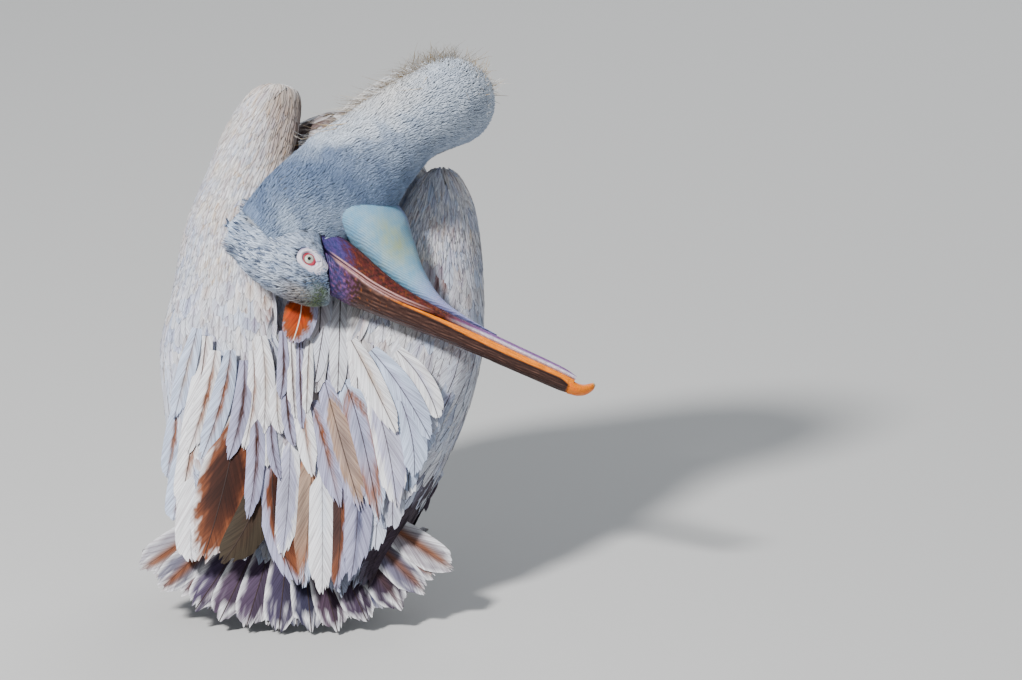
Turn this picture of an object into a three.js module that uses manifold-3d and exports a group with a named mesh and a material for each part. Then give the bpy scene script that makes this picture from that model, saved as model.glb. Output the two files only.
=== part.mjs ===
// A Dalmatian pelican in its second year, life size, standing and preening: the neck is laid over the
// right shoulder, and the head rests upside down on the back with the bill pointing to the bird's right.
// Millimetres, +Z up, the bird facing +Y.
import * as THREE from 'three';
import { mergeVertices } from 'three/addons/utils/BufferGeometryUtils.js';
import Module from 'manifold-3d';

const wasm = await Module();
wasm.setup();

// ---------------------------------------------------------------- driving dimensions
const LEAN = THREE.MathUtils.degToRad(30); // the body's long axis leans this far forward of upright
const TAIL_TIP = { y: -334, z: 0.8 }; // where the body axis meets the tail's tip, above the floor
const GAP = 0.35; // clearance between neighbouring solids
const SQUARENESS = 2.3; // superellipse exponent of the trunk's sections, 2 being a plain ellipse

const BILL_DROOP = 25.7; // degrees the bill points below level, seen from behind
const HEAD_ROLL = 18; // degrees the crown is turned out towards the viewer
const VIEW_HEIGHT = 17; // degrees above level from which the bird is seen
const HEAD_AT = new THREE.Vector3(13, -112, 438); // middle of the bill's base

const TAIL_LENGTH = 238; // root to tip of the middle feathers
const TAIL_OUTER_GAIN = 0.08; // the outermost feathers reach this share further
const TAIL_SPREAD = 114; // degrees from the outermost feather to the other
const TAIL_FEATHERS = 12; // those that show a tip of their own
const TAIL_ROOT = [-31, 41, 236]; // in the leaning body's own x, forward, up

const EYE_RADIUS = 9.5;
const EYE_AT = [-24.8, 31.5, 22.3]; // forward, sideways and up in the head's own axes

const STANCE = 72; // each foot's distance from the middle
const FOOT_Y = 6; // where the shank meets the foot
const TOE_OUT = 10; // degrees each foot is turned out
const WEB_THICKNESS = 3;

// ---------------------------------------------------------------- shared shapes

/** A point of the leaning body, given as x, forward and up along its own axis, in the standing frame. */
function stand(x, forward, up) {
  const [s, c] = [Math.sin(LEAN), Math.cos(LEAN)];
  return new THREE.Vector3(x, TAIL_TIP.y + forward * c + up * s, TAIL_TIP.z + up * c - forward * s);
}

/** The rows of a table as one smooth curve, t running from 0 at the first row to 1 at the last. */
function along(rows, t) {
  const last = rows.length - 1;
  const s = THREE.MathUtils.clamp(t, 0, 1) * last;
  const i = Math.min(Math.floor(s), last - 1);
  const f = s - i;
  const [a, b, c, d] = [-1, 0, 1, 2].map((k) => rows[THREE.MathUtils.clamp(i + k, 0, last)]);
  return b.map((_, j) => {
    const turn = c[j] - a[j];
    const bend = 2 * a[j] - 5 * b[j] + 4 * c[j] - d[j];
    const twist = 3 * b[j] - a[j] - 3 * c[j] + d[j];
    return b[j] + 0.5 * f * (turn + f * (bend + f * twist));
  });
}

/** A point of a superellipse with the given half axes, at turn a. */
function oval(a, half, height, power = 2) {
  const bulge = (v) => Math.sign(v) * Math.abs(v) ** (2 / power);
  return [half * bulge(Math.cos(a)), height * bulge(Math.sin(a))];
}

/**
 * A closed solid of rings: point(t, a) is its skin at share t of its length and turn a of the ring. A ring
 * has an even number of sides, and each end is closed by a ladder of triangles, which suits a bent section.
 */
function rings(point, count, sides, from = 0, to = 1) {
  const skin = [];
  for (let i = 0; i <= count; i++) {
    for (let k = 0; k < sides; k++) {
      skin.push(point(from + ((to - from) * i) / count, (2 * Math.PI * k) / sides));
    }
  }
  const faces = [];
  for (let k = 0; k < sides; k++) {
    const next = (k + 1) % sides;
    for (let i = 0; i < count; i++) {
      const [a, b] = [i * sides + k, i * sides + next];
      faces.push(a, b, b + sides, a, b + sides, a + sides);
    }
  }
  const end = count * sides;
  for (let k = 0; k < sides / 2 - 1; k++) {
    const [a, b, c, d] = [k, k + 1, sides - 2 - k, sides - 1 - k];
    faces.push(c, b, a, d, c, a, end + a, end + b, end + c, end + a, end + c, end + d);
  }
  return outward(skin, faces);
}

/** A closed plate between two sheets: sheet(t, s, side) is its skin, side +1 above and -1 below. */
function plate(sheet, lengthwise, across) {
  const points = [];
  for (const side of [1, -1]) {
    for (let i = 0; i <= lengthwise; i++) {
      for (let k = 0; k <= across; k++) points.push(sheet(i / lengthwise, k / across, side));
    }
  }
  const row = across + 1;
  const lower = (lengthwise + 1) * row;
  const faces = [];
  for (let i = 0; i < lengthwise; i++) {
    for (let k = 0; k < across; k++) {
      const a = i * row + k;
      faces.push(a, a + 1, a + row + 1, a, a + row + 1, a + row);
      faces.push(lower + a, lower + a + row + 1, lower + a + 1);
      faces.push(lower + a, lower + a + row, lower + a + row + 1);
    }
  }
  const rim = [];
  for (let k = 0; k < across; k++) rim.push(k);
  for (let i = 0; i < lengthwise; i++) rim.push(i * row + across);
  for (let k = across; k > 0; k--) rim.push(lengthwise * row + k);
  for (let i = lengthwise; i > 0; i--) rim.push(i * row);
  rim.forEach((a, j) => {
    const b = rim[(j + 1) % rim.length];
    faces.push(b, a, lower + a, b, lower + a, lower + b);
  });
  return outward(points, faces);
}

/** A geometry from points and faces, turned inside out if its volume comes out negative. */
function outward(points, faces) {
  let volume = 0;
  for (let i = 0; i < faces.length; i += 3) {
    const [a, b, c] = [points[faces[i]], points[faces[i + 1]], points[faces[i + 2]]];
    volume += a.dot(new THREE.Vector3().crossVectors(b, c));
  }
  const geometry = new THREE.BufferGeometry().setFromPoints(points);
  geometry.setIndex(volume < 0 ? [...faces].reverse() : faces);
  return geometry;
}

/** A copy of a geometry with only its points and faces. */
function bareOf(geometry) {
  const bare = geometry.clone();
  bare.deleteAttribute('normal');
  bare.deleteAttribute('uv');
  return bare;
}

/** The same geometry as a solid that can be cut and joined. */
function solid(geometry) {
  const merged = mergeVertices(bareOf(geometry), 1e-4);
  return new wasm.Manifold(
    new wasm.Mesh({
      numProp: 3,
      vertProperties: new Float32Array(merged.attributes.position.array),
      triVerts: new Uint32Array(merged.index.array),
    }),
  );
}

/** A solid's largest piece as a geometry again, with crumbs left by a cut thrown away. */
function shape(body) {
  const pieces = body.decompose().sort((a, b) => b.volume() - a.volume());
  const { vertProperties, triVerts } = pieces[0].simplify(0.05).getMesh();
  const geometry = new THREE.BufferGeometry();
  geometry.setAttribute('position', new THREE.BufferAttribute(new Float32Array(vertProperties), 3));
  geometry.setIndex(new THREE.BufferAttribute(new Uint32Array(triVerts), 1));
  return geometry;
}

const bird = new THREE.Group();

/** Adds a sub-part to the bird as its own named mesh. */
function add(name, geometry, colour, roughness = 0.8) {
  const material = new THREE.MeshStandardMaterial({ color: colour, roughness, metalness: 0 });
  const mesh = new THREE.Mesh(geometry, material);
  mesh.name = name;
  bird.add(mesh);
}

const PLUMAGE = '#dcdbe0';
const NECK_GREY = '#a9b6c6';
const FEATHER_BROWN = '#a1836f';
const TAIL_GREY = '#b4b1bd';
const UPPER_BILL = '#6b4b45';
const LOWER_BILL = '#8a5546';
const POUCH_BLUE = '#b3c3c4';
const FOOT_GREY = '#8d8a90';
const CLAW_DARK = '#4a4446';
const EYE_PALE = '#cfcabb';
const NAIL_ORANGE = '#e8931e';

// ---------------------------------------------------------------- trunk
// Level sections from the root of the tail up to the mantle: x, forward, up, half width, half depth.
const TRUNK = [
  [-30, 62, 196, 14, 8],
  [-29, 78, 214, 46, 34],
  [-24, 108, 258, 92, 76],
  [-15, 138, 335, 126, 112],
  [-4, 156, 425, 143, 128],
  [8, 160, 520, 146, 132],
  [19, 150, 605, 134, 124],
  [26, 124, 672, 96, 90],
  [28, 108, 700, 62, 62],
  [28, 100, 716, 30, 32],
  [28, 97, 722, 6, 6],
];

function trunkSkin(grow = 0) {
  return (t, a) => {
    const [x, forward, up, half, depth] = along(TRUNK, t);
    const [across, ahead] = oval(a, half + grow, depth + grow, SQUARENESS);
    return stand(x + across, forward + ahead, up + grow * (2 * t - 1));
  };
}

// ---------------------------------------------------------------- wings
// Level sections of each folded wing from the wrist down to the tips: up, then the inner edge on the back
// (x, forward), the outer edge on the flank (x, forward), how far the wing arches out, and its thickness.
const LEFT_WING = [
  [742, -52, 32, -74, 38, 2, 16],
  [728, -30, 24, -92, 48, 12, 56],
  [688, -30, 16, -119, 72, 16, 66],
  [634, -42, 14, -136, 112, 28, 62],
  [560, -58, 14, -146, 168, 51, 54],
  [480, -64, 15, -142, 204, 70, 46],
  [400, -60, 15, -144, 206, 92, 40],
  [320, -54, 14, -154, 176, 89, 36],
  [240, -52, 10, -170, 134, 78, 30],
  [165, -62, 2, -172, 84, 54, 22],
  [105, -90, -2, -160, 40, 24, 11],
  [66, -118, -2, -150, 10, 5, 4],
];

const RIGHT_WING = [
  [640, 150, 62, 168, 74, 2, 12],
  [622, 132, 50, 180, 92, 8, 40],
  [582, 112, 34, 186, 142, 24, 54],
  [520, 86, 20, 180, 188, 52, 50],
  [450, 62, 15, 162, 212, 82, 44],
  [380, 46, 14, 152, 210, 95, 39],
  [300, 30, 12, 152, 176, 86, 34],
  [225, 14, 9, 142, 128, 64, 27],
  [150, 6, 2, 112, 70, 36, 17],
  [92, 10, -3, 76, 22, 13, 8],
  [48, 22, -4, 54, 4, 4, 4],
];

const WING_SIDES = 18;
const WING_STEPS = 17; // rings in a whole wing

/**
 * Skin of a wing: its section is an ellipse of the row's thickness, wrapped on the row's arch, and turned
 * half a step so that its thin edges end blunt.
 */
function wingSkin(rows) {
  return (t, turn) => {
    const [up, ax, ay, bx, by, arch, thick] = along(rows, t);
    const a = turn + Math.PI / WING_SIDES;
    const share = (1 - Math.cos(a)) / 2;
    const length = Math.hypot(bx - ax, by - ay);
    const facing = Math.sign(bx - ax) || 1;
    const [outX, outY] = [(facing * (by - ay)) / length, (-facing * (bx - ax)) / length];
    const lift = 4 * arch * share * (1 - share) + (thick / 2) * Math.sin(a);
    return stand(ax + (bx - ax) * share + outX * lift, ay + (by - ay) * share + outY * lift, up);
  };
}

// The share of the wing's length at which the arm's coverts end and the flight feathers begin.
const COVERTS_END = 0.56;
const WING_SPLIT = 0.0012;

// ---------------------------------------------------------------- feather fans
// A fan of long feathers: the line of its roots and the line of its tips (x, forward, up), how far it
// arches off the body, its thickness at root and tip, and how many rounded tips of what depth it ends in.
const FANS = {
  scapulars_right: {
    roots: [[-40, 16, 420], [-10, 15, 450], [40, 16, 452], [90, 15, 426], [130, 16, 386]],
    tips: [[-48, -8, 250], [-36, -11, 120], [10, -13, 52], [60, -13, 62], [106, -8, 165], [150, 8, 285]],
    arch: 6,
    padding: 18,
    lobes: 8,
    notch: 0.05,
    colour: PLUMAGE,
  },
  tertials_left: {
    roots: [[-184, 34, 330], [-152, 10, 352], [-104, 2, 360], [-64, 4, 350]],
    tips: [[-189, 18, 205], [-173, 0, 108], [-118, -13, 80], [-66, -15, 66], [-50, -10, 150]],
    arch: 5,
    padding: 12,
    lobes: 6,
    notch: 0.06,
    colour: FEATHER_BROWN,
  },
};

const FAN_STEPS = 5;
const FAN_LINES = 20;
const VANE = 2.4; // thickness of a fan at its rim

/** Skin of a fan: feather lines from roots to tips, arched outwards, with down padded under the roots. */
function fanSkin({ roots, tips, arch, padding, lobes, notch }, grow = 0) {
  return (t, s, side) => {
    const root = along(roots, s);
    const tip = along(tips, s);
    const cut = notch * (1 - Math.abs(Math.sin(Math.PI * lobes * s))) ** 2;
    const share = t * (1 - cut);
    const [x, forward, up] = root.map((value, j) => value + (tip[j] - value) * share);
    const edge = Math.sin(Math.PI * THREE.MathUtils.clamp(s, 0.1, 0.9)) ** 0.7;
    const under = side < 0 ? padding * Math.sin(Math.PI * t ** 0.5) * edge : 0;
    return stand(x, forward - arch * Math.sin(Math.PI * t) * edge - side * (VANE / 2 + grow) + under, up);
  };
}

// ---------------------------------------------------------------- tail

/** Skin of the spread tail: feathers ray out from the root, each with a rounded tip. */
function tailSkin(grow = 0) {
  return (t, s, side) => {
    const turn = THREE.MathUtils.degToRad((s - 0.5) * TAIL_SPREAD);
    const tip = Math.abs(Math.sin(Math.PI * TAIL_FEATHERS * s)) ** 0.6;
    const reach = TAIL_LENGTH * (0.93 + 0.07 * tip) * (1 + TAIL_OUTER_GAIN * (2 * s - 1) ** 2) + grow;
    const [rootX, rootForward, rootUp] = TAIL_ROOT;
    const outwards = 16 + (reach - 16) * t;
    const down = outwards * Math.cos(turn);
    const half = 4.5 - 3.3 * t + grow;
    const cup = 10 * (2 * s - 1) ** 2 * t;
    return stand(
      rootX + outwards * Math.sin(turn),
      rootForward * (1 - down / rootUp) + cup + 2 - side * half,
      rootUp - down,
    );
  };
}

// ---------------------------------------------------------------- neck
// The middle line of the neck from inside the head, over the right shoulder, down to its base:
// x, y, z, then the half width in the plane of the bend and the half thickness across it.
const NECK = [
  [-62, -112, 461, 62, 36],
  [-19, -98, 500, 72, 38],
  [28, -80, 532, 76, 36],
  [72, -70, 574, 65, 46],
  [116, -46, 607, 55, 51],
  [153, -6, 615, 55, 55],
  [168, 42, 608, 57, 58],
  [150, 88, 590, 59, 60],
  [108, 112, 564, 61, 62],
  [66, 116, 524, 65, 66],
  [34, 108, 476, 72, 74],
  [22, 98, 420, 64, 64],
];

/** Skin of the neck: ovals square to its middle line, broad in the upright plane through it. */
function neckSkin(grow = 0) {
  return (t, a) => {
    const here = new THREE.Vector3(...along(NECK, t));
    const step = 0.002;
    const ahead = new THREE.Vector3(...along(NECK, t + step));
    const behind = new THREE.Vector3(...along(NECK, t - step));
    const way = ahead.sub(behind).normalize();
    const level = new THREE.Vector3().crossVectors(way, new THREE.Vector3(0, 0, 1)).normalize();
    const rise = new THREE.Vector3().crossVectors(level, way);
    const [, , , half, thick] = along(NECK, t);
    const [up, side] = oval(a, half + grow, thick + grow);
    return here.addScaledVector(rise, up).addScaledVector(level, side);
  };
}

const NECK_SEAM = 0.0006; // the part of the neck's length left free between two of its lengths
const NECK_STEPS = 24; // rings in the whole neck
const NECK_SIDES = 16;
const NECK_LENGTHS = [
  ['neck_upper', 0.0, 0.3],
  ['neck_bend_head_side', 0.3, 0.5],
  ['neck_bend_body_side', 0.5, 0.7],
  ['neck_base', 0.7, 0.97],
];

// ---------------------------------------------------------------- head and bill
// The head's own axes: forward along the bill, left, and up through the crown, which points down here.
const viewUp = new THREE.Vector3(0, Math.sin(THREE.MathUtils.degToRad(VIEW_HEIGHT)),
  Math.cos(THREE.MathUtils.degToRad(VIEW_HEIGHT)));
const toViewer = new THREE.Vector3(1, 0, 0).cross(viewUp);
const droop = THREE.MathUtils.degToRad(BILL_DROOP);
const roll = THREE.MathUtils.degToRad(HEAD_ROLL);
const billWay = new THREE.Vector3(Math.cos(droop), 0, 0).addScaledVector(viewUp, -Math.sin(droop));
const flatCrown = new THREE.Vector3(-Math.sin(droop), 0, 0).addScaledVector(viewUp, -Math.cos(droop));
const crownWay = flatCrown.clone().multiplyScalar(Math.cos(roll)).addScaledVector(toViewer, Math.sin(roll));
const leftWay = toViewer.clone().multiplyScalar(Math.cos(roll)).addScaledVector(flatCrown, -Math.sin(roll));

/** A point given forward, left and up in the head's own axes. */
function ofHead(forward, left, up) {
  return HEAD_AT.clone()
    .addScaledVector(billWay, forward)
    .addScaledVector(leftWay, left)
    .addScaledVector(crownWay, up);
}

// Sections of the skull with its plush, from the nape to the bill's base:
// forward, middle height, half width, half height, and how far the section slants forward per mm of height.
const HEAD = [
  [-132, 14, 6, 8, 0],
  [-120, 10, 24, 34, 0.05],
  [-92, 6, 38, 56, 0.1],
  [-56, 4, 43, 66, 0.2],
  [-34, 2, 42, 66, 0.45],
  [-19, 1, 37, 56, 0.68],
  [-12, 0, 33, 49, 0.75],
];

// Sections of the bill from its base to the nail: forward, then for the upper mandible the ridge height
// and the height of its cutting edge, for the lower one its underside, and the half width.
const BILL = [
  [-11, 39, 0, -37, 29],
  [30, 41, 7, -30, 25],
  [64, 39, 12, -17, 22],
  [105, 36, 13, -8, 19],
  [160, 31, 9, -4, 17],
  [218, 27, 6.5, -4, 17],
  [277, 24.5, 6, -4, 18],
  [330, 22, 5.5, -4, 18.5],
  [352, 20, 5, -1, 15],
];

const BASE_SLANT = 0.75; // the bill's base slants forward this much per mm towards the ridge
const SLANT_FADES = 64; // and is square to the bill from here on

function slantAt(forward) {
  return BASE_SLANT * Math.max(0, 1 - Math.max(forward, 0) / SLANT_FADES);
}

function headSkin(grow = 0) {
  return (t, a) => {
    const [forward, middle, half, height, slant] = along(HEAD, t);
    const [left, up] = oval(a, half + grow, height + grow, 2.1);
    return ofHead(forward + slant * up + grow * (2 * t - 1), left, middle + up);
  };
}

/** Skin of the upper mandible: a flat cutting edge below, a low ridge on top, then the hooked nail. */
function upperBillSkin(grow = 0) {
  return (t, a) => {
    const [forward, ridge, edge, , half] = along(BILL, t);
    const [left, rise] = oval(a, half + grow, 1, 2.4);
    const above = (ridge - edge - 2) * rise;
    const up = edge + (rise > 0 ? 2 + above : GAP + (2 - GAP) * (1 + rise)) + grow * rise;
    return ofHead(forward + slantAt(forward) * up, left, up);
  };
}

/** Skin of the lower mandible: two side bars and what lies between them, down to the pouch. */
function lowerBillSkin(grow = 0) {
  return (t, a) => {
    const [forward, , edge, under, half] = along(BILL, t);
    const [left, rise] = oval(a, half - 1.5 + grow, 1, 3);
    const middle = (edge + under) / 2;
    const up = middle + rise * ((edge - under) / 2 + grow);
    return ofHead(forward + slantAt(forward) * up, left, up);
  };
}

// The nail: forward, height of its middle, half width, half height.
const NAIL = [
  [353.4, 12.5, 15, 8.5],
  [361, 11.5, 13.5, 8],
  [369, 7.5, 11, 7],
  [375, 0.5, 7.5, 5],
  [377, -5, 3, 2.5],
];

function nailSkin(t, a) {
  const [forward, middle, half, height] = along(NAIL, t);
  const [left, up] = oval(a, half, height);
  const tilt = 0.9 * t;
  return ofHead(forward + up * tilt, left, middle + up * (1 - 0.45 * t));
}

// Sections of the pouch from the throat to where it runs out under the bill: forward, the height of its
// attachment to the bill, the height of its hanging fold, and the half width at the attachment.
const POUCH = [
  [-14, -38, -66, 42],
  [6, -36, -95, 48],
  [34, -28, -111, 46],
  [58, -20, -104, 36],
  [84, -13, -76, 24],
  [114, -8, -44, 16],
  [150, -5, -20, 13.5],
  [190, -5, -10.5, 12],
  [236, -5, -6.5, 9],
];

/** Skin of the pouch: a wedge between the side bars that narrows to a soft fold. */
function pouchSkin(grow = 0) {
  return (t, a) => {
    const [forward, top, fold, half] = along(POUCH, t);
    const [left, rise] = oval(a, 1, 1, 2.2);
    const share = (1 + rise) / 2;
    const narrow = 0.8 + 0.2 * share;
    const up = fold + (top - fold) * share + rise * grow;
    return ofHead(forward + 0.3 * slantAt(forward) * up, left * (half * narrow + grow), up);
  };
}

// ---------------------------------------------------------------- legs and feet
// Level sections of the feathered thigh, then of the bare shank: x outwards of the stance, y, z,
// half width, half depth.
const THIGH = [
  [-6, 34, 226, 34, 44],
  [-2, 22, 190, 34, 42],
  [0, 6, 158, 26, 32],
  [0, -8, 132, 16, 20],
  [0, -13, 118, 10, 12],
];
const SHANK = [
  [0, -14, 117.6, 7, 8],
  [0, -14, 110, 9, 11],
  [0, -11, 98, 6.5, 9],
  [0, -4, 60, 5.5, 8],
  [0, 3, 30, 6.5, 9],
  [0, 6, 15.5, 9, 11],
];

// Toes: name, degrees outwards of the foot's own heading, length to the claw.
const TOES = [
  ['outer', 21, 116],
  ['middle', -1, 124],
  ['inner', -25, 92],
  ['hind', -112, 46],
];
const CLAW_LENGTH = 11;
const TOE_RADIUS = 6;
const HUB_HEIGHT = 15;

function limbSkin(rows, side, grow = 0) {
  return (t, a) => {
    const [out, y, z, half, depth] = along(rows, t);
    const [across, ahead] = oval(a, half + grow, depth + grow);
    return new THREE.Vector3(side * (STANCE + out) + across, y + ahead, z);
  };
}

/** A point of a foot: reach along the given heading, aside to its outer hand, and height. */
function ofFoot(side, degrees, reach, aside, height) {
  const turn = THREE.MathUtils.degToRad(TOE_OUT + degrees);
  const x = reach * Math.sin(turn) + aside * Math.cos(turn);
  return new THREE.Vector3(
    side * (STANCE + x),
    FOOT_Y + reach * Math.cos(turn) - aside * Math.sin(turn),
    Math.max(height, 0),
  );
}

/** A toe or claw: a rod lying on the floor, with flat sole, knuckles and a tapered end. */
function rodSkin(side, degrees, start, end, radius, knuckles) {
  return (t, a) => {
    const reach = start + (end - start) * t;
    const swell = 1 + 0.12 * Math.abs(Math.cos(Math.PI * knuckles * t)) ** 3;
    const here = (radius[0] + (radius[1] - radius[0]) * t) * swell;
    const [aside, up] = oval(a, here, here * 0.95);
    return ofFoot(side, degrees, reach, aside, here * 0.75 + up);
  };
}

/** The web's outline: out along each toe to its tip, and back in a shallow bay between two toes. */
function webOutline(side) {
  const tips = TOES.map(([, degrees, length]) => ofFoot(side, degrees, length - 6, 0, 0));
  const bay = (a, b, depth) => {
    const heel = ofFoot(side, 0, 0, 0, 0);
    return a.clone().add(b).multiplyScalar(0.5).lerp(heel, depth);
  };
  const outline = new THREE.Shape();
  const start = ofFoot(side, 60, 10, 0, 0);
  outline.moveTo(start.x, start.y);
  outline.lineTo(tips[0].x, tips[0].y);
  for (const [i, depth] of [[1, 0.14], [2, 0.16], [3, 0.3]]) {
    const middle = bay(tips[i - 1], tips[i], depth);
    outline.quadraticCurveTo(middle.x, middle.y, tips[i].x, tips[i].y);
  }
  outline.lineTo(ofFoot(side, 180, 9, 0, 0).x, ofFoot(side, 180, 9, 0, 0).y);
  return outline;
}

function foot(side) {
  const hub = rings((t, a) => {
    const [aside, reach] = oval(a, 11 - 3 * t, 13 - 3 * t);
    return ofFoot(side, 0, reach, aside, HUB_HEIGHT * t);
  }, 2, 6);
  const web = new THREE.ExtrudeGeometry(webOutline(side), {
    depth: WEB_THICKNESS, bevelEnabled: false, curveSegments: 3,
  });
  let whole = solid(hub).add(solid(web));
  for (const [, degrees, length] of TOES) {
    const rod = rings(rodSkin(side, degrees, 0, length, [TOE_RADIUS, 4], length / 32), 4, 6);
    whole = whole.add(solid(rod));
  }
  return whole;
}

// ---------------------------------------------------------------- building the body

/** A solid made by build(grow), and the room it needs: the same solid grown by the clearance. */
function withRoom(build) {
  return { body: solid(build(0)), room: solid(build(GAP)) };
}

const trunk = withRoom((grow) => rings(trunkSkin(grow), 14, 18));
const head = withRoom((grow) => rings(headSkin(grow), 9, 16));
const pouch = withRoom((grow) => rings(pouchSkin(grow), 12, 12));
const upperBill = withRoom((grow) => rings(upperBillSkin(grow), 13, 12));
const lowerBill = withRoom((grow) => rings(lowerBillSkin(grow), 13, 12));
const tail = withRoom((grow) => plate(tailSkin(grow), 2, 3 * TAIL_FEATHERS));
const fans = Object.entries(FANS).map(([name, fan]) => {
  const made = withRoom((grow) => plate(fanSkin(fan, grow), FAN_STEPS, FAN_LINES));
  return { name, colour: fan.colour, ...made };
});
const neck = NECK_LENGTHS.map(([name, from, to]) => {
  const count = Math.round((to - from) * NECK_STEPS);
  const made = withRoom((grow) => {
    const reach = grow > 0 ? NECK_SEAM : 0;
    return rings(neckSkin(grow), count, NECK_SIDES, from - reach, to - NECK_SEAM + reach);
  });
  return { name, ...made };
});

/** A solid less the rooms of its neighbours. */
function clear(body, neighbours) {
  return neighbours.reduce((left, { room }) => left.subtract(room), body);
}

const SIDES = [['left', -1], ['right', 1]];
const eyes = SIDES.map(([name, side]) => {
  const [forward, aside, up] = EYE_AT;
  const centre = ofHead(forward, -side * aside, up);
  const made = withRoom((grow) => {
    const ball = new THREE.SphereGeometry(EYE_RADIUS + grow, 11, 7);
    return ball.translate(centre.x, centre.y, centre.z);
  });
  return { name, ...made };
});
for (const [name, side] of SIDES) {
  const thigh = solid(rings(limbSkin(THIGH, side), 6, 12));
  add(`thigh_${name}`, shape(clear(thigh, [trunk])), PLUMAGE);
  add(`shank_${name}`, rings(limbSkin(SHANK, side), 6, 8), FOOT_GREY);
  add(`foot_${name}`, shape(foot(side)), FOOT_GREY);
  for (const [toe, degrees, length] of TOES) {
    const claw = rodSkin(side, degrees, length + GAP, length + CLAW_LENGTH, [3.4, 0.8], 0);
    add(`claw_${name}_${toe}`, rings(claw, 2, 6), CLAW_DARK, 0.45);
  }
}
add('trunk', shape(clear(trunk.body, neck)), PLUMAGE);
for (const { name, body } of neck) {
  const neighbours = name === 'neck_upper' ? [head, pouch, lowerBill, upperBill, ...eyes] : [];
  add(name, shape(clear(body, neighbours)), NECK_GREY);
}

for (const [side, rows] of [['left', LEFT_WING], ['right', RIGHT_WING]]) {
  const skin = wingSkin(rows);
  for (const [part, from, to] of [['coverts', 0, COVERTS_END], ['flight', COVERTS_END + WING_SPLIT, 1]]) {
    const wing = solid(rings(skin, Math.round((to - from) * WING_STEPS), WING_SIDES, from, to));
    add(`wing_${side}_${part}`, shape(clear(wing, [trunk, head, tail, ...neck, ...fans])), PLUMAGE);
  }
}
for (const { name, body, colour } of fans) {
  add(name, shape(clear(body, [trunk, head, tail])), colour);
}

// The lowest tail tips are worn flat where they rest on the ground.
const ground = new THREE.BoxGeometry(600, 600, 40).translate(0, TAIL_TIP.y, -20);
add('tail', shape(clear(tail.body, [trunk]).subtract(solid(ground))), TAIL_GREY);

// ---------------------------------------------------------------- building the head

let skull = head.body;
for (const eye of eyes) {
  add(`eye_${eye.name}`, shape(eye.body), EYE_PALE, 0.15);
  skull = clear(skull, [eye]);
}
add('head', shape(skull), NECK_GREY);
add('bill_upper', shape(clear(upperBill.body, [head])), UPPER_BILL, 0.5);
add('bill_nail', rings(nailSkin, 6, 10), NAIL_ORANGE, 0.4);
add('bill_lower', shape(clear(lowerBill.body, [pouch, head])), LOWER_BILL, 0.5);
add('pouch', shape(clear(pouch.body, [head])), POUCH_BLUE, 0.6);

// ---------------------------------------------------------------- the whole bird's place
const box = new THREE.Box3().setFromObject(bird);
bird.position.set(-(box.min.x + box.max.x) / 2, -(box.min.y + box.max.y) / 2, -box.min.z);

export default bird;
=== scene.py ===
import bpy
import numpy as np
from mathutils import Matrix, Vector


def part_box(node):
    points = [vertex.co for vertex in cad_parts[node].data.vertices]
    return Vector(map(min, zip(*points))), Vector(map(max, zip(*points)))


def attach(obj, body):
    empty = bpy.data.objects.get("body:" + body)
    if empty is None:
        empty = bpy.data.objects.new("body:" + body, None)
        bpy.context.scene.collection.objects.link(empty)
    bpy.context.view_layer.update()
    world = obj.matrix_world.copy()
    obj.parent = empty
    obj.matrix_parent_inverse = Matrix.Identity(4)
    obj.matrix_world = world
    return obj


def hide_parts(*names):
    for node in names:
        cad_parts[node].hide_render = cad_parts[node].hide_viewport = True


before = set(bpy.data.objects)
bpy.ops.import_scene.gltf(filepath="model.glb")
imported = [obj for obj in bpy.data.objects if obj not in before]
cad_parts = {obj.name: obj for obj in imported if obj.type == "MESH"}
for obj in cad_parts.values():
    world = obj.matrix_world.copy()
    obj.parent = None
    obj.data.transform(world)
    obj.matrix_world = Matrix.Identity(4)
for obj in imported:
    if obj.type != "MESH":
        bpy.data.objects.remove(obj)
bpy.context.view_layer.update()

# ---------------------------------------------------------------- floor, camera and light
# A plain pale floor under the bird, a long lens on it from behind and a little above, and one broad
# soft light high on the left with weaker ones on the right and behind.

FRAME_WIDTH_PX = 1022
MM_PER_PX = 1.3
SENSOR_MM = 36.0
CAMERA_DISTANCE = 16.0
CAMERA_RISE = np.radians(17.0)
VIEW_CENTRE_MM = np.array([247.0, -60.0, 315.4])

# The bird is drawn in millimetres about the point on the floor midway between its shanks.
shanks = [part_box("shank_left"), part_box("shank_right")]
between = np.array(shanks).mean(axis=(0, 1))
SHANK_MIDDLE_Y_MM = -4.0
MIDDLE = np.array([between[0], between[1] - 0.001 * SHANK_MIDDLE_Y_MM, 0.0])


def metres(points_mm):
    """Millimetres about the point between the feet, as metres in the frame."""
    return np.asarray(points_mm) * 0.001 + MIDDLE


def place_light(name, spot, size, power, colour):
    """An area light at spot, turned to the middle of the bird."""
    lamp = bpy.data.lights.new(name, "AREA")
    lamp.shape = "DISK"
    lamp.size = size
    lamp.energy = power
    lamp.color = colour
    light = bpy.data.objects.new(name, lamp)
    light.location = spot
    light.rotation_euler = (Vector((0, 0, 0.33)) - Vector(spot)).to_track_quat("-Z", "Y").to_euler()
    bpy.context.scene.collection.objects.link(light)


place_light("key_light", (-2.8, -3.2, 4.4), size=0.9, power=650, colour=(1.0, 0.985, 0.975))
place_light("fill_light", (4.2, -3.0, 2.2), size=3.0, power=36, colour=(0.92, 0.96, 1.0))
place_light("rim_light", (1.5, 4.0, 3.6), size=2.4, power=110, colour=(0.96, 0.98, 1.0))

world = bpy.data.worlds.new("studio")
world.use_nodes = True
world.node_tree.nodes["Background"].inputs["Color"].default_value = (0.82, 0.89, 0.99, 1)
world.node_tree.nodes["Background"].inputs["Strength"].default_value = 0.27
bpy.context.scene.world = world

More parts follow.
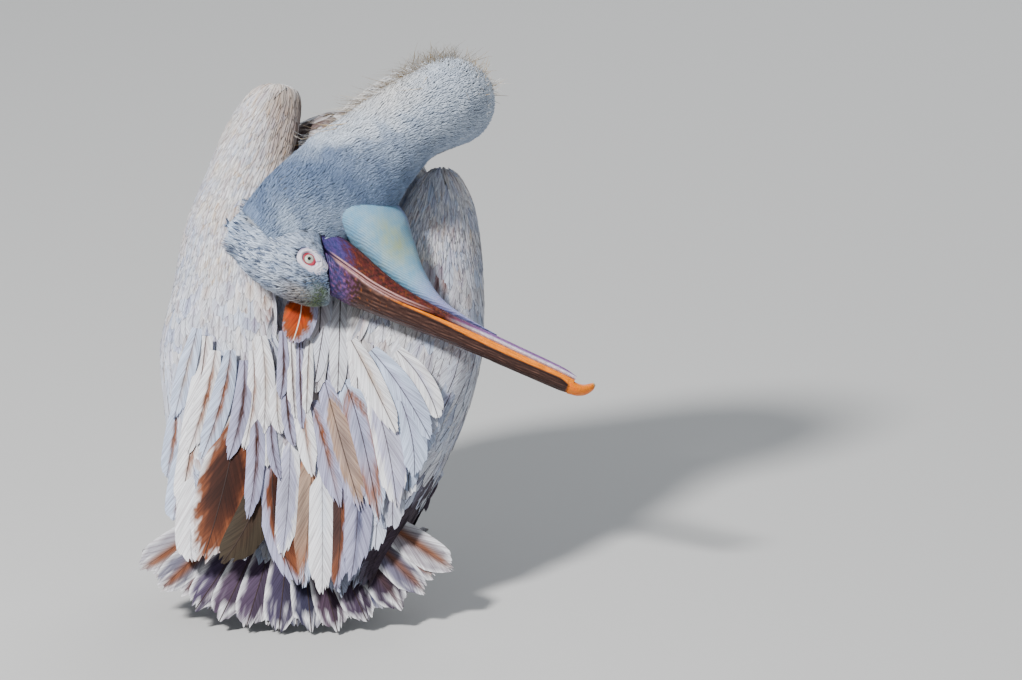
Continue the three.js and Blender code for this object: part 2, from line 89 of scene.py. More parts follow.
camera_data = bpy.data.cameras.new("camera")
camera_data.sensor_width = SENSOR_MM
camera_data.lens = SENSOR_MM * CAMERA_DISTANCE / (FRAME_WIDTH_PX * MM_PER_PX * 0.001)
camera_data.clip_end = 100
camera = bpy.data.objects.new("camera", camera_data)
away = np.array([0.0, -np.cos(CAMERA_RISE), np.sin(CAMERA_RISE)])
camera.location = metres(VIEW_CENTRE_MM) + CAMERA_DISTANCE * away
camera.rotation_euler = (np.pi / 2 - CAMERA_RISE, 0, 0)
bpy.context.scene.collection.objects.link(camera)
bpy.context.scene.camera = camera

floor_mesh = bpy.data.meshes.new("floor")
FLOOR_HALF = 14.0
corners = [(-FLOOR_HALF, -FLOOR_HALF, 0), (FLOOR_HALF, -FLOOR_HALF, 0)]
corners += [(FLOOR_HALF, FLOOR_HALF, 0), (-FLOOR_HALF, FLOOR_HALF, 0)]
floor_mesh.from_pydata(corners, [], [(0, 1, 2, 3)])
floor = bpy.data.objects.new("floor", floor_mesh)
bpy.context.scene.collection.objects.link(floor)
floor_paint = bpy.data.materials.new("floor_paint")
floor_paint.use_nodes = True
floor_paint.node_tree.nodes["Principled BSDF"].inputs["Base Color"].default_value = (0.55, 0.55, 0.54, 1)
floor_paint.node_tree.nodes["Principled BSDF"].inputs["Roughness"].default_value = 0.75
floor_mesh.materials.append(floor_paint)

# ---------------------------------------------------------------- skin
# The bird's own skin with the down that is rooted in it: trunk, neck, head, thighs and the arms of the
# folded wings in one closed surface. It lies inside the plumage by the depth of the feathers.

LEAN = np.radians(30.0)
TAIL_TIP_Y, TAIL_TIP_Z = -334.0, 0.8
SQUARENESS = 2.3
DOWN_WHITE = (0.72, 0.71, 0.70, 1)
DOWN_GREY = (0.38, 0.44, 0.53, 1)

# Level sections from the root of the tail up to the mantle: x, forward, up, half width, half depth.
TRUNK = [
    [-30, 62, 196, 14, 8], [-29, 78, 214, 46, 34], [-24, 108, 258, 92, 76], [-15, 138, 335, 126, 112],
    [-4, 156, 425, 143, 128], [8, 160, 520, 146, 132], [19, 150, 605, 134, 124], [26, 124, 672, 96, 90],
    [28, 108, 700, 62, 62], [28, 100, 716, 30, 32], [28, 97, 722, 6, 6],
]

# Middle line of the neck from inside the head to its base: x, y, z, half width, half thickness.
NECK = [
    [-62, -112, 461, 62, 36], [-19, -98, 500, 72, 38], [28, -80, 532, 76, 36], [72, -70, 574, 65, 46],
    [116, -46, 607, 55, 51], [153, -6, 615, 55, 55], [168, 42, 608, 57, 58], [150, 88, 590, 59, 60],
    [108, 112, 564, 61, 62], [66, 116, 524, 65, 66], [34, 108, 476, 72, 74], [22, 98, 420, 64, 64],
]

# Sections of the skull from the nape to the bill's base: forward, middle height, half width, half height,
# and how far a section slants forward per mm of height.
HEAD = [
    [-132, 14, 6, 8, 0], [-120, 10, 24, 34, 0.05], [-92, 6, 38, 56, 0.1], [-56, 4, 43, 66, 0.2],
    [-34, 2, 42, 66, 0.45], [-19, 1, 37, 56, 0.68], [-12, 0, 33, 49, 0.75],
]
HEAD_AT = np.array([13.0, -112.0, 438.0])
BILL_DROOP = np.radians(25.7)
HEAD_ROLL = np.radians(18.0)
HEAD_SQUARENESS = 2.1

# Level sections of a folded wing from the wrist to the tip: up, inner edge (x, forward), outer edge
# (x, forward), how far it arches out, thickness.
LEFT_WING = [
    [742, -52, 32, -74, 38, 2, 16], [728, -30, 24, -92, 48, 12, 56], [688, -30, 16, -119, 72, 16, 66],
    [634, -42, 14, -136, 112, 28, 62], [560, -58, 14, -146, 168, 51, 54], [480, -64, 15, -142, 204, 70, 46],
    [400, -60, 15, -144, 206, 92, 40], [320, -54, 14, -154, 176, 89, 36], [240, -52, 10, -170, 134, 78, 30],
    [165, -62, 2, -172, 84, 54, 22], [105, -90, -2, -160, 40, 24, 11], [66, -118, -2, -150, 10, 5, 4],
]
RIGHT_WING = [
    [640, 150, 62, 168, 74, 2, 12], [622, 132, 50, 180, 92, 8, 40], [582, 112, 34, 186, 142, 24, 54],
    [520, 86, 20, 180, 188, 52, 50], [450, 62, 15, 162, 212, 82, 44], [380, 46, 14, 152, 210, 95, 39],
    [300, 30, 12, 152, 176, 86, 34], [225, 14, 9, 142, 128, 64, 27], [150, 6, 2, 112, 70, 36, 17],
    [92, 10, -3, 76, 22, 13, 8], [48, 22, -4, 54, 4, 4, 4],
]

# Level sections of the feathered thigh: x outwards of the stance, y, z, half width, half depth.
THIGH = [
    [-6, 34, 226, 34, 44], [-2, 22, 190, 34, 42], [0, 6, 158, 26, 32], [0, -8, 132, 16, 20],
    [0, -13, 118, 10, 12],
]
STANCE = 72.0


def along(rows, t):
    """The rows of a table as one smooth curve through them, t running from 0 to 1 (Catmull-Rom)."""
    rows = np.asarray(rows, float)
    last = len(rows) - 1
    s = np.clip(t, 0, 1) * last
    i = np.minimum(s.astype(int), last - 1)
    f = (s - i)[..., None]
    a, b, c, d = (rows[np.clip(i + k, 0, last)] for k in (-1, 0, 1, 2))
    return b + 0.5 * f * ((c - a) + f * ((2 * a - 5 * b + 4 * c - d) + f * (3 * b - a - 3 * c + d)))


def oval(a, half, height, power=2.0):
    """A superellipse: half * |cos a|^(2/power) across and height * |sin a|^(2/power) up, with their signs."""
    cos, sin = np.cos(a), np.sin(a)
    return (half * np.sign(cos) * np.abs(cos) ** (2 / power),
            height * np.sign(sin) * np.abs(sin) ** (2 / power))


def unit(v):
    """Vectors scaled to length 1."""
    return v / np.maximum(np.linalg.norm(v, axis=-1, keepdims=True), 1e-9)


def ramp(value, start, width, top=1):
    """0 up to start, then rising by 1 in width, up to top; a negative width runs the other way."""
    return np.clip((value - start) / width, 0, top)


def stand(x, forward, up):
    """The leaning body's x, forward and up, turned by the lean into standing x, y, z."""
    s, c = np.sin(LEAN), np.cos(LEAN)
    parts = (x + 0 * up, TAIL_TIP_Y + forward * c + up * s, TAIL_TIP_Z + up * c - forward * s)
    return np.stack(np.broadcast_arrays(*parts), axis=-1)


def trunk_skin(t, a, grow=0.0):
    """Ovals of the trunk's table, a little squarer than ellipses, grown outwards by grow."""
    x, forward, up, half, depth = np.moveaxis(along(TRUNK, t), -1, 0)
    across, ahead = oval(a, half + grow, depth + grow, SQUARENESS)
    return stand(x + across, forward + ahead, up + grow * (2 * t - 1))


def neck_skin(t, a, grow=0.0):
    """Ovals square to the neck's middle line: half width up and down in its own plane, thickness across."""
    step = 0.002
    here = along(NECK, t)
    way = unit(along(NECK, t + step)[..., :3] - along(NECK, t - step)[..., :3])
    level = unit(np.cross(way, [0.0, 0.0, 1.0]))
    rise = np.cross(level, way)
    up, side = oval(a, here[..., 3] + grow, here[..., 4] + grow)
    return here[..., :3] + rise * up[..., None] + level * side[..., None]


view_up = np.array([0.0, np.sin(CAMERA_RISE), np.cos(CAMERA_RISE)])
to_viewer = np.cross([1.0, 0.0, 0.0], view_up)
bill_way = np.array([np.cos(BILL_DROOP), 0, 0]) - np.sin(BILL_DROOP) * view_up
flat_crown = np.array([-np.sin(BILL_DROOP), 0, 0]) - np.cos(BILL_DROOP) * view_up
crown_way = np.cos(HEAD_ROLL) * flat_crown + np.sin(HEAD_ROLL) * to_viewer
left_way = np.cos(HEAD_ROLL) * to_viewer - np.sin(HEAD_ROLL) * flat_crown


def of_head(forward, left, up):
    """A point given forward along the bill, to the left, and up through the crown, which points down here."""
    forward, left, up = (np.asarray(v)[..., None] for v in np.broadcast_arrays(forward, left, up))
    return HEAD_AT + bill_way * forward + left_way * left + crown_way * up


def head_skin(t, a, grow=0.0):
    """Near-ellipses of the skull's table, slanting as its rows say."""
    forward, middle, half, height, slant = np.moveaxis(along(HEAD, t), -1, 0)
    left, up = oval(a, half + grow, height + grow, HEAD_SQUARENESS)
    return of_head(forward + slant * up + grow * (2 * t - 1), left, middle + up)


def wing_skin(rows):
    """A wing's surface: an ellipse of the row's thickness wrapped on a parabola of the row's arch."""
    def skin(t, a, grow=0.0):
        up, ax, ay, bx, by, arch, thick = np.moveaxis(along(rows, t), -1, 0)
        share = (1 - np.cos(a)) / 2
        length = np.hypot(bx - ax, by - ay)
        facing = np.sign(bx - ax)
        lift = 4 * arch * share * (1 - share) + (thick / 2 + grow) * np.sin(a)
        x = ax + (bx - ax) * share + facing * (by - ay) / length * lift
        forward = ay + (by - ay) * share - facing * (bx - ax) / length * lift
        return stand(x, forward, up)
    return skin


def thigh_skin(side):
    """Level ovals of the thigh's table beside the middle on the given side."""
    def skin(t, a, grow=0.0):
        out, y, z, half, depth = np.moveaxis(along(THIGH, t), -1, 0)
        across, ahead = oval(a, half + grow, depth + grow)
        return np.stack(np.broadcast_arrays(side * (STANCE + out) + across, y + ahead, z), axis=-1)
    return skin


def mesh_piece(name, points_mm, faces, uvs=None, values=None):
    """
    An object from points in millimetres and lists of faces, one array for each number of corners.
    uvs maps a UV map's name to its points, by vertex (or by corner where longer); values maps an
    attribute's name to a number, or to a colour, for each vertex.
    """
    mesh = bpy.data.meshes.new(name)
    faces = [np.asarray(part, int) for part in faces if len(part)]
    corner_of = np.concatenate([part.ravel() for part in faces])
    sizes = np.concatenate([np.full(len(part), part.shape[1]) for part in faces])
    mesh.vertices.add(len(points_mm))
    mesh.vertices.foreach_set("co", metres(points_mm).astype(np.float32).ravel())
    mesh.loops.add(len(corner_of))
    mesh.loops.foreach_set("vertex_index", corner_of.astype(np.int32))
    mesh.polygons.add(len(sizes))
    mesh.polygons.foreach_set("loop_start", np.concatenate([[0], np.cumsum(sizes)[:-1]]).astype(np.int32))
    mesh.polygons.foreach_set("use_smooth", np.ones(len(sizes), bool))
    mesh.update(calc_edges=True)
    for title, spots in (uvs or {}).items():
        layer = mesh.uv_layers.new(name=title)
        at_corners = (spots if len(spots) == len(corner_of) and len(spots) != len(points_mm)
                      else spots[corner_of])
        layer.data.foreach_set("uv", np.asarray(at_corners, np.float32).ravel())
    for title, numbers in (values or {}).items():
        numbers = np.asarray(numbers, np.float32)
        if numbers.ndim == 2:
            numbers = np.concatenate([numbers, np.ones((len(numbers), 1), np.float32)], axis=1)
            mesh.attributes.new(title, "FLOAT_COLOR", "POINT").data.foreach_set("color", numbers.ravel())
        else:
            mesh.attributes.new(title, "FLOAT", "POINT").data.foreach_set("value", numbers)
    piece = bpy.data.objects.new(name, mesh)
    bpy.context.scene.collection.objects.link(piece)
    return piece


def loft_faces(rows, sides):
    """Quads between successive rings of a tube, and a cap at each end, wound to face out or in alike."""
    i, k = np.meshgrid(np.arange(rows - 1), np.arange(sides), indexing="ij")
    a, b = i * sides + k, i * sides + (k + 1) % sides
    quads = np.stack([a, b, b + sides, a + sides], axis=-1).reshape(-1, 4)
    ring = np.arange(sides)
    caps = np.stack([ring[::-1], (rows - 1) * sides + ring])
    return quads, caps


def volume_sign(points, quads):
    """The sign of the enclosed volume, from the quads seen from the middle."""
    p = points - points.mean(axis=0)
    a, b, c, d = (p[quads[:, k]] for k in range(4))
    return np.sign(np.sum(np.cross(c - a, d - b) * (a + b + c + d)))


def surface_grid(skin, rows, sides, start=0.0, end=1.0, grow=0.0):
    """A skin's points on an even grid of rows from start to end and sides round."""
    t = np.linspace(start, end, rows)[:, None]
    a = 2 * np.pi * np.arange(sides)[None, :] / sides
    return skin(*np.broadcast_arrays(t, a), grow)


def shares_and_turns(rows, sides):
    """Shares from 0 to 1 in rows and turns once round in sides, as two grids."""
    return np.meshgrid(np.linspace(0, 1, rows), 2 * np.pi * np.arange(sides) / sides, indexing="ij")


DEPTHS = {"trunk": -13.0, "neck": -8.0, "head": -5.5, "thigh": -8.0, "wing": -9.0}
left_wing, right_wing = wing_skin(LEFT_WING), wing_skin(RIGHT_WING)
flesh = [
    surface_grid(trunk_skin, 60, 64, start=0.04, end=0.99, grow=DEPTHS["trunk"]),
    surface_grid(neck_skin, 120, 48, start=0.0, end=1.0, grow=DEPTHS["neck"]),
    surface_grid(head_skin, 50, 48, start=0.03, end=1.0, grow=DEPTHS["head"]),
    surface_grid(thigh_skin(-1), 30, 32, start=0.0, end=0.97, grow=DEPTHS["thigh"] / 2),
    surface_grid(thigh_skin(1), 30, 32, start=0.0, end=0.97, grow=DEPTHS["thigh"] / 2),
    surface_grid(left_wing, 60, 40, start=0.02, end=0.8, grow=DEPTHS["wing"]),
    surface_grid(right_wing, 60, 40, start=0.02, end=0.8, grow=DEPTHS["wing"]),
]


def tubes(name, grids, uvs=None, values=None):
    """One mesh of several closed tubes, each a grid of rings (rows, sides, 3) turned to face outwards."""
    starts = np.cumsum([0] + [grid.shape[0] * grid.shape[1] for grid in grids])
    closed = [loft_faces(*grid.shape[:2]) for grid in grids]
    turns = [volume_sign(grid.reshape(-1, 3), quads) for grid, (quads, _) in zip(grids, closed)]
    sheets = [(part[:, ::-1] if turn < 0 else part) + start for parts, turn,
              start in zip(closed, turns, starts) for part in parts]
    return mesh_piece(name, np.concatenate([grid.reshape(-1, 3) for grid in grids]), sheets, uvs, values)


joined = tubes("flesh", flesh)
VOXEL = 0.0041
remesh = joined.modifiers.new("one_skin", "REMESH")
remesh.mode = "VOXEL"
remesh.voxel_size = VOXEL
smoothing = joined.modifiers.new("soften", "SMOOTH")
smoothing.factor = 0.5
smoothing.iterations = 4
remeshed = bpy.data.meshes.new_from_object(joined.evaluated_get(bpy.context.evaluated_depsgraph_get()))
bpy.data.objects.remove(joined)
skin = bpy.data.objects.new("skin", remeshed)
bpy.context.scene.collection.objects.link(skin)
remeshed.name = "skin"
remeshed.polygons.foreach_set("use_smooth", np.ones(len(remeshed.polygons), bool))

skin_points = np.empty(3 * len(remeshed.vertices), np.float32)
remeshed.vertices.foreach_get("co", skin_points)
skin_points = (skin_points.reshape(-1, 3) - MIDDLE) * 1000
neck_line = along(NECK, np.linspace(0, 1, 80))
reach = np.linalg.norm(skin_points[:, None, :] - neck_line[None, :, :3], axis=-1).min(axis=1)
head_reach = np.linalg.norm(skin_points - of_head(-50, 0, 0), axis=-1)
grey = ramp(reach, 100, -30) + ramp(head_reach, 110, -20)
grey *= np.clip((reach < 100) | (head_reach < 110), 0, 1)
grey = np.clip(grey, 0, 1).astype(np.float32)
remeshed.attributes.new("grey", "FLOAT", "POINT").data.foreach_set("value", grey)


def new_material(name, roughness=0.6, **sockets):
    """A material with a Principled shader: returns it, its tree and the shader, with constant sockets set."""
    material = bpy.data.materials.new(name)
    material.use_nodes = True
    shader = material.node_tree.nodes["Principled BSDF"]
    shader.inputs["Roughness"].default_value = roughness
    for title, value in sockets.items():
        shader.inputs[title.replace("_", " ")].default_value = value
    return material, material.node_tree, shader


def wire(tree, kind, inputs, output=0, **settings):
    """Adds a node with its settings, feeds each input from a socket or sets its value, gives an output."""
    node = tree.nodes.new(kind)
    for title, value in settings.items():
        setattr(node, title, value)
    for key, value in inputs.items():
        if isinstance(value, bpy.types.NodeSocket):
            tree.links.new(value, node.inputs[key])
        else:
            node.inputs[key].default_value = value
    return node.outputs[output]


def blend(tree, share, first, second, mode="MIX"):
    """Mixes two colours by share."""
    return wire(tree, "ShaderNodeMix", {0: share, 6: first, 7: second}, 2, data_type="RGBA", blend_type=mode)


def reckon(tree, operation, first, second=0.0, clamp=False):
    """One step of arithmetic."""
    return wire(tree, "ShaderNodeMath", {0: first, 1: second}, operation=operation, use_clamp=clamp)


def fade(tree, value, low, high, start=0.0, end=1.0):
    """A value mapped smoothly from low..high to start..end, held beyond them."""
    inputs = {"Value": value, "From Min": low, "From Max": high, "To Min": start, "To Max": end}
    return wire(tree, "ShaderNodeMapRange", inputs, interpolation_type="SMOOTHSTEP")


def place_of(tree):
    """The object's own coordinates, in metres."""
    return wire(tree, "ShaderNodeTexCoord", {}, 3)


def grain(tree, where, scale, detail=4.0, roughness=0.55):
    """Fractal noise at a place."""
    inputs = {"Vector": where, "Scale": scale, "Detail": detail, "Roughness": roughness}
    return wire(tree, "ShaderNodeTexNoise", inputs)


def value_of(tree, title):
    """A number stored on the mesh under a name."""
    return wire(tree, "ShaderNodeAttribute", {}, 2, attribute_name=title)


def paint_of(tree):
    """The colour stored on the mesh under the name paint."""
    return wire(tree, "ShaderNodeAttribute", {}, 0, attribute_name="paint")


def shaded(tree, colour, tone):
    """A colour multiplied by a number."""
    grey = wire(tree, "ShaderNodeCombineColor", {0: tone, 1: tone, 2: tone})
    return blend(tree, 1.0, colour, grey, "MULTIPLY")


def tint(tree, shader, colour):
    """Gives the surface its colour."""
    tree.links.new(colour, shader.inputs["Base Color"])


def bump(tree, shader, height, distance, strength=1.0):
    """Raises the surface by a height field, distance metres from 0 to 1."""
    normal = wire(tree, "ShaderNodeBump", {"Height": height, "Distance": distance, "Strength": strength})
    tree.links.new(normal, shader.inputs["Normal"])


down, tree, shader = new_material("down", 0.9, Sheen_Weight=0.3)
spot = place_of(tree)
cloud = grain(tree, spot, scale=260, detail=6)
tone = blend(tree, value_of(tree, "grey"), DOWN_WHITE, DOWN_GREY)
tint(tree, shader, blend(tree, reckon(tree, "MULTIPLY", cloud, 0.4), tone, (0.45, 0.43, 0.42, 1)))
bump(tree, shader, cloud, distance=0.003)
remeshed.materials.clear()
remeshed.materials.append(down)
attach(skin, "root")
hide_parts("trunk", "neck_upper", "neck_bend_head_side", "neck_bend_body_side", "neck_base", "head",
            "thigh_left", "thigh_right")

# ---------------------------------------------------------------- plumage of the trunk and thighs
# Short broad contour feathers in overlapping rows from the breast and mantle down to the vent and the
# feathered thighs. White, but the mantle between the wings is mottled brown with pale fringes.


def linear(*colours):
    """Colours written as six hex figures, as rows of linear red, green and blue."""
    numbers = np.array([[int(colour[i:i + 2], 16) for i in (0, 2, 4)] for colour in colours]) / 255
    return np.where(numbers <= 0.04045, numbers / 12.92, ((numbers + 0.055) / 1.055) ** 2.4)


def mixed(first, second, share):
    """Two colours mixed by share as the eye sees it: the square of the mean of their square roots."""
    return (np.sqrt(np.maximum(first, 0)) * (1 - share) + np.sqrt(np.maximum(second, 0)) * share) ** 2


def hill(value, middle, width):
    """A bell curve: exp(-((value - middle) / width)^2)."""
    return np.exp(-((value - middle) / width) ** 2)


def ripple(points, size, seed):
    """Soft unevenness from about -1 to 1: the sum of six plane waves about size mm long."""
    rng = np.random.default_rng(seed)
    waves = unit(rng.normal(size=(6, 3))) * rng.uniform(0.7, 1.4, (6, 1)) * 2 * np.pi / size
    return np.clip(np.sin(points @ waves.T + rng.uniform(0, 2 * np.pi, 6)).sum(axis=-1) / 2.6, -1, 1)


def stations(skin, gap, between, start, end, seed, first=0.0, last=2 * np.pi):
    """
    Staggered rows of places on a skin, gap mm from row to row and between mm apart in a row, a little
    uneven. Arc lengths summed along and round the skin give the rows and the places in them.
    """
    rng = np.random.default_rng(seed)
    fine, turn = np.linspace(start, end, 240), np.linspace(first, last, 181)
    steps = np.linalg.norm(np.diff(skin(*np.broadcast_arrays(fine[:, None], turn)), axis=0), axis=-1)
    travelled = np.concatenate([[0], np.cumsum(steps.mean(axis=1))])
    rows = max(int(travelled[-1] / gap), 1)
    t = np.interp((np.arange(rows) + 0.5) / rows * travelled[-1], travelled, fine)
    rings = skin(*np.broadcast_arrays(t[:, None], turn))
    arcs = np.cumsum(np.linalg.norm(np.diff(rings, axis=1), axis=-1), axis=1)
    counts = np.maximum((arcs[:, -1] / between).astype(int), 1)
    row = np.repeat(np.arange(rows), counts)
    order = np.arange(len(row)) - np.repeat(np.cumsum(counts) - counts, counts)
    place = (order + 0.25 + 0.5 * (row % 2) + rng.uniform(-0.22, 0.22, len(row))) / counts[row]
    known = (np.concatenate([np.zeros((rows, 1)), arcs / arcs[:, -1:]], axis=1) * 0.9999
             + np.arange(rows)[:, None])
    a = np.interp(row + np.clip(place, 0.001, 0.999), known.ravel(), np.tile(turn, rows))
    jitter = rng.uniform(-0.3, 0.3, len(row)) * (end - start) / rows
    return np.clip(t[row] + jitter, min(start, end), max(start, end)), a


def lie(skin, t, a, length, way, rows, sink, lift, swing=0.0, curl=0.7, stop=9.0):
    """
    Shafts laid along a skin's rows (way is 1 or -1), turned aside by swing: each point is the skin's
    there plus its outward normal times a height that grows from -sink at the root to lift at the tip as
    the share^curl. Past the skin's end the shaft runs straight on, as far as t = stop. Gives the points and
    the normals.
    """
    h = 1e-3
    v = np.linspace(0, 1, rows + 1)
    swing, length = np.broadcast_to(swing, t.shape), np.broadcast_to(length, t.shape)
    inner = np.clip(t, 2 * h, 1 - 2 * h)
    speed = np.maximum(np.linalg.norm(skin(inner + h, a) - skin(inner - h, a), axis=-1) / (2 * h), 40)
    turning = np.maximum(np.linalg.norm(skin(inner, a + h) - skin(inner, a - h), axis=-1) / (2 * h), 8)
    length = length * np.clip((stop - t) * speed / length, 0.25, 1)
    ts = t[:, None] + way * v * (length * np.cos(swing) / speed)[:, None]
    angles = a[:, None] + v * (length * np.sin(swing) / turning)[:, None]
    kept = np.clip(ts, 0.004, 0.996)
    beyond = way * (ts - kept) * speed[:, None]
    onward = unit(way * (skin(kept + h, angles) - skin(kept - h, angles)))
    round_way = skin(kept, angles + h) - skin(kept, angles - h)
    normal = unit(np.cross(onward, round_way))
    outward = np.sum(normal * (skin(kept, angles, 2.0) - skin(kept, angles, -2.0)))
    normal = normal * np.sign(outward)
    height = (-np.broadcast_to(sink, t.shape)[:, None] * (1 - v ** curl)
              + np.broadcast_to(lift, t.shape)[:, None] * v ** curl)
    return skin(kept, angles) + normal * height[..., None] + onward * beyond[..., None], normal


def blade(v, root=0.35, belly=0.45, tip=0.6):
    """Half width along a vane: a quarter sine from the root up to 1 at the belly, a parabola to the tip."""
    rising = root + (1 - root) * np.sin(np.pi / 2 * np.minimum(v / belly, 1))
    return rising - (1 - tip) * (np.maximum(v - belly, 0) / (1 - belly)) ** 2


def in_cells(count, columns, rows, fill=0.92):
    """Low corners and sizes of the cells of a lattice over the square, one for each of count feathers."""
    order = np.arange(count)
    size = np.broadcast_to(np.array([1 / columns, 1 / rows]), (count, 2))
    corner = np.stack([order % columns, order // columns], axis=-1) * size
    return corner + size * (1 - fill) / 2, size * fill


def at_root(t, a, size=0.003):
    """A patch of the given size at each root's place on the unwrapped skin."""
    corner = np.stack([(a / (2 * np.pi)) % 1, t], axis=-1) * (1 - 2 * size) + size / 2
    return corner, np.full((len(t), 2), size)


FLOOR_CLEARANCE = 0.4


def feathers(name, line, normal, half, paint, patches, seed, columns=4, rounding=0.35, fray=0.0, camber=0.18,
             shaft=0.0, closed=0.0, roll=0.0):
    """
    Many vanes as one mesh. A vane is a grid: points of its shaft, stepped across by the half width there
    and bent down by camber * half width * across^2 and tilted by roll * half width * across. Its edge
    rows are drawn back by rounding * across^2 and by a random fray. closed gives it an underside that many
    mm below. Nothing goes under the floor.
    """
    rng = np.random.default_rng(seed)
    count, rows = line.shape[0], line.shape[1] - 1
    v, u = np.linspace(0, 1, rows + 1), np.linspace(-1, 1, columns + 1)
    back = rounding * u ** 2 + fray * rng.uniform(0, 1, (count, columns + 1)) ** 2
    rise = v[None, :, None] * (1 - back[:, None, :] * v[None, :, None] ** 2)
    rise = np.maximum(rise, v[None, :, None] * 0.3)
    step = np.clip(rise * rows, 0, rows - 1e-6)
    low, part = step.astype(int), (step % 1)[..., None]
    each = np.arange(count)[:, None, None]
    shafts = line[each, low] * (1 - part) + line[each, low + 1] * part
    normals = normal[each, low] * (1 - part) + normal[each, low + 1] * part
    ways = unit(np.diff(line, axis=1))[each, low]
    side = unit(np.cross(ways, normals))
    widths = (half[each, low] * (1 - part[..., 0]) + half[each, low + 1] * part[..., 0])[..., None]
    across = np.broadcast_to(u, rise.shape)[..., None]
    camber = np.broadcast_to(camber, (count,))[:, None, None, None]
    points = shafts + side * widths * across + normals * widths * (roll * across - camber * across ** 2)
    colours = np.broadcast_to(paint(across[..., 0], rise), (*rise.shape, 3))
    reach = np.linalg.norm(np.diff(line, axis=1), axis=-1).sum(axis=1)[:, None, None] * 0.001
    vane = np.stack([across[..., 0] * widths[..., 0] * 0.001, rise * reach], axis=-1)
    corner, size = patches
    spot = np.stack(np.broadcast_arrays((across[..., 0] + 1) / 2, v[None, :, None]), axis=-1)
    grid = np.arange(count * (rows + 1) * (columns + 1)).reshape(count, rows + 1, columns + 1)
    quads = np.stack([grid[:, :-1, :-1], grid[:, :-1, 1:], grid[:, 1:, 1:], grid[:, 1:, :-1]], axis=-1)
    quads = quads.reshape(-1, 4)
    seeds = np.broadcast_to(rng.uniform(0, 1, count)[:, None, None], rise.shape)
    shaft = np.broadcast_to(shaft, (count,))[:, None, None] + 0 * rise
    parts = [points, vane, colours, seeds[..., None], shaft[..., None]]
    if closed:
        under = (points - normals * closed * (1 - across ** 2)
                 * np.sqrt(np.maximum(1 - v, 0))[None, :, None, None])
        parts = [np.concatenate([part, part]) for part in parts]
        parts[0] = np.concatenate([points, under])
        halves = size * [0.5, 1.0]
        corner, size = np.concatenate([corner, corner + halves * [1, 0]]), np.concatenate([halves, halves])
        spot = np.concatenate([np.broadcast_to(spot, (count, *spot.shape[1:]))] * 2)
        quads = np.concatenate([quads, quads[:, ::-1] + grid.size])
    bake = corner[:, None, None] + size[:, None, None] * spot
    points, vane, colours, seeds, shaft = (part.reshape(-1, part.shape[-1]) for part in parts)
    points[:, 2] = np.maximum(points[:, 2], FLOOR_CLEARANCE)
    values = {"paint": colours, "seed": seeds[:, 0], "shaft": shaft[:, 0]}
    uvs = {"OFBake": bake.reshape(-1, 2), "vane": vane}
    return mesh_piece(name, points, [quads], uvs, values)


def vane_material(name, streaks=0.3, roughness=0.66, sheen=0.25, splits=0.35, slant=2.3):
    """
    The stuff of a feather: its paint in fine light and dark barbs that run out from the shaft and towards
    the tip, some of them stained lilac brown, now and then a split, and the shaft itself, dark where its
    number is above 0 and pale below.
    """
    material, tree, shader = new_material(name, roughness, Sheen_Weight=sheen, Sheen_Roughness=0.5,
                                          Specular_IOR_Level=0.2)
    vane = wire(tree, "ShaderNodeUVMap", {}, uv_map="vane")
    x, y = (wire(tree, "ShaderNodeSeparateXYZ", {0: vane}, i) for i in (0, 1))
    out = reckon(tree, "ABSOLUTE", x)
    barb = reckon(tree, "SUBTRACT", y, reckon(tree, "MULTIPLY", out, slant))
    own = reckon(tree, "MULTIPLY", value_of(tree, "seed"), 40.0)

    def barbs(along_it, across_it):
        """Noise of the feather's own, drawn out along its barbs."""
        place = {0: reckon(tree, "MULTIPLY", barb, along_it),
                 1: reckon(tree, "MULTIPLY", out, across_it), 2: own}
        return grain(tree, wire(tree, "ShaderNodeCombineXYZ", place), scale=1.0, detail=2)

    fine, wide, broad = barbs(620, 60), barbs(210, 30), barbs(60, 14)
    tone = reckon(tree, "ADD", fade(tree, fine, 0.32, 0.68, 1 - streaks, 1 + 0.6 * streaks),
                  fade(tree, broad, 0.3, 0.7, -0.5 * streaks, 0.3 * streaks))
    lit = shaded(tree, paint_of(tree), tone)
    stained = blend(tree, 1.0, lit, (0.50, 0.42, 0.45, 1), "MULTIPLY")
    lit = blend(tree, fade(tree, wide, 0.46, 0.66, 0.0, splits), lit, stained)
    number = value_of(tree, "shaft")
    quill = reckon(tree, "MULTIPLY", fade(tree, out, 0.00035, 0.0010, 1.0, 0.0),
                   reckon(tree, "ABSOLUTE", number), True)
    quill_tone = blend(tree, fade(tree, number, -0.05, 0.05, 0.0, 1.0), (0.8, 0.7, 0.58, 1),
                       (0.035, 0.022, 0.02, 1))
    tint(tree, shader, blend(tree, quill, lit, quill_tone))
    ridge = reckon(tree, "ADD", reckon(tree, "MULTIPLY", fine, 0.5),
                   fade(tree, out, 0.0003, 0.0011, 1.0, 0.0))
    bump(tree, shader, ridge, distance=0.0006, strength=0.8)
    return material


def finish(piece, material, slot, *nodes):
    """Gives a piece its material, rides it on the bird, and stands it for its nodes; slot is not used."""
    piece.data.materials.append(material)
    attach(piece, "root")
    if nodes:
        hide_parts(*nodes)


contour_vane = vane_material("contour_vane", streaks=0.16, sheen=0.15, splits=0.4)
WHITE, SHADE_WHITE, MANTLE_BROWN = linear("e8eaee", "c6cddd", "48322c")


def contour_paint(base, core, strength):
    """Each feather's own base, mixed to its core by strength * exp(-(across / 0.62)^2) along the middle."""
    def paint(across, rise):
        middle = hill(across, 0, 0.62) * np.clip(1.25 - rise ** 4, 0, 1)
        share = (strength[:, None, None] * middle)[..., None]
        return mixed(base[:, None, None], core[:, None, None], share)
    return paint


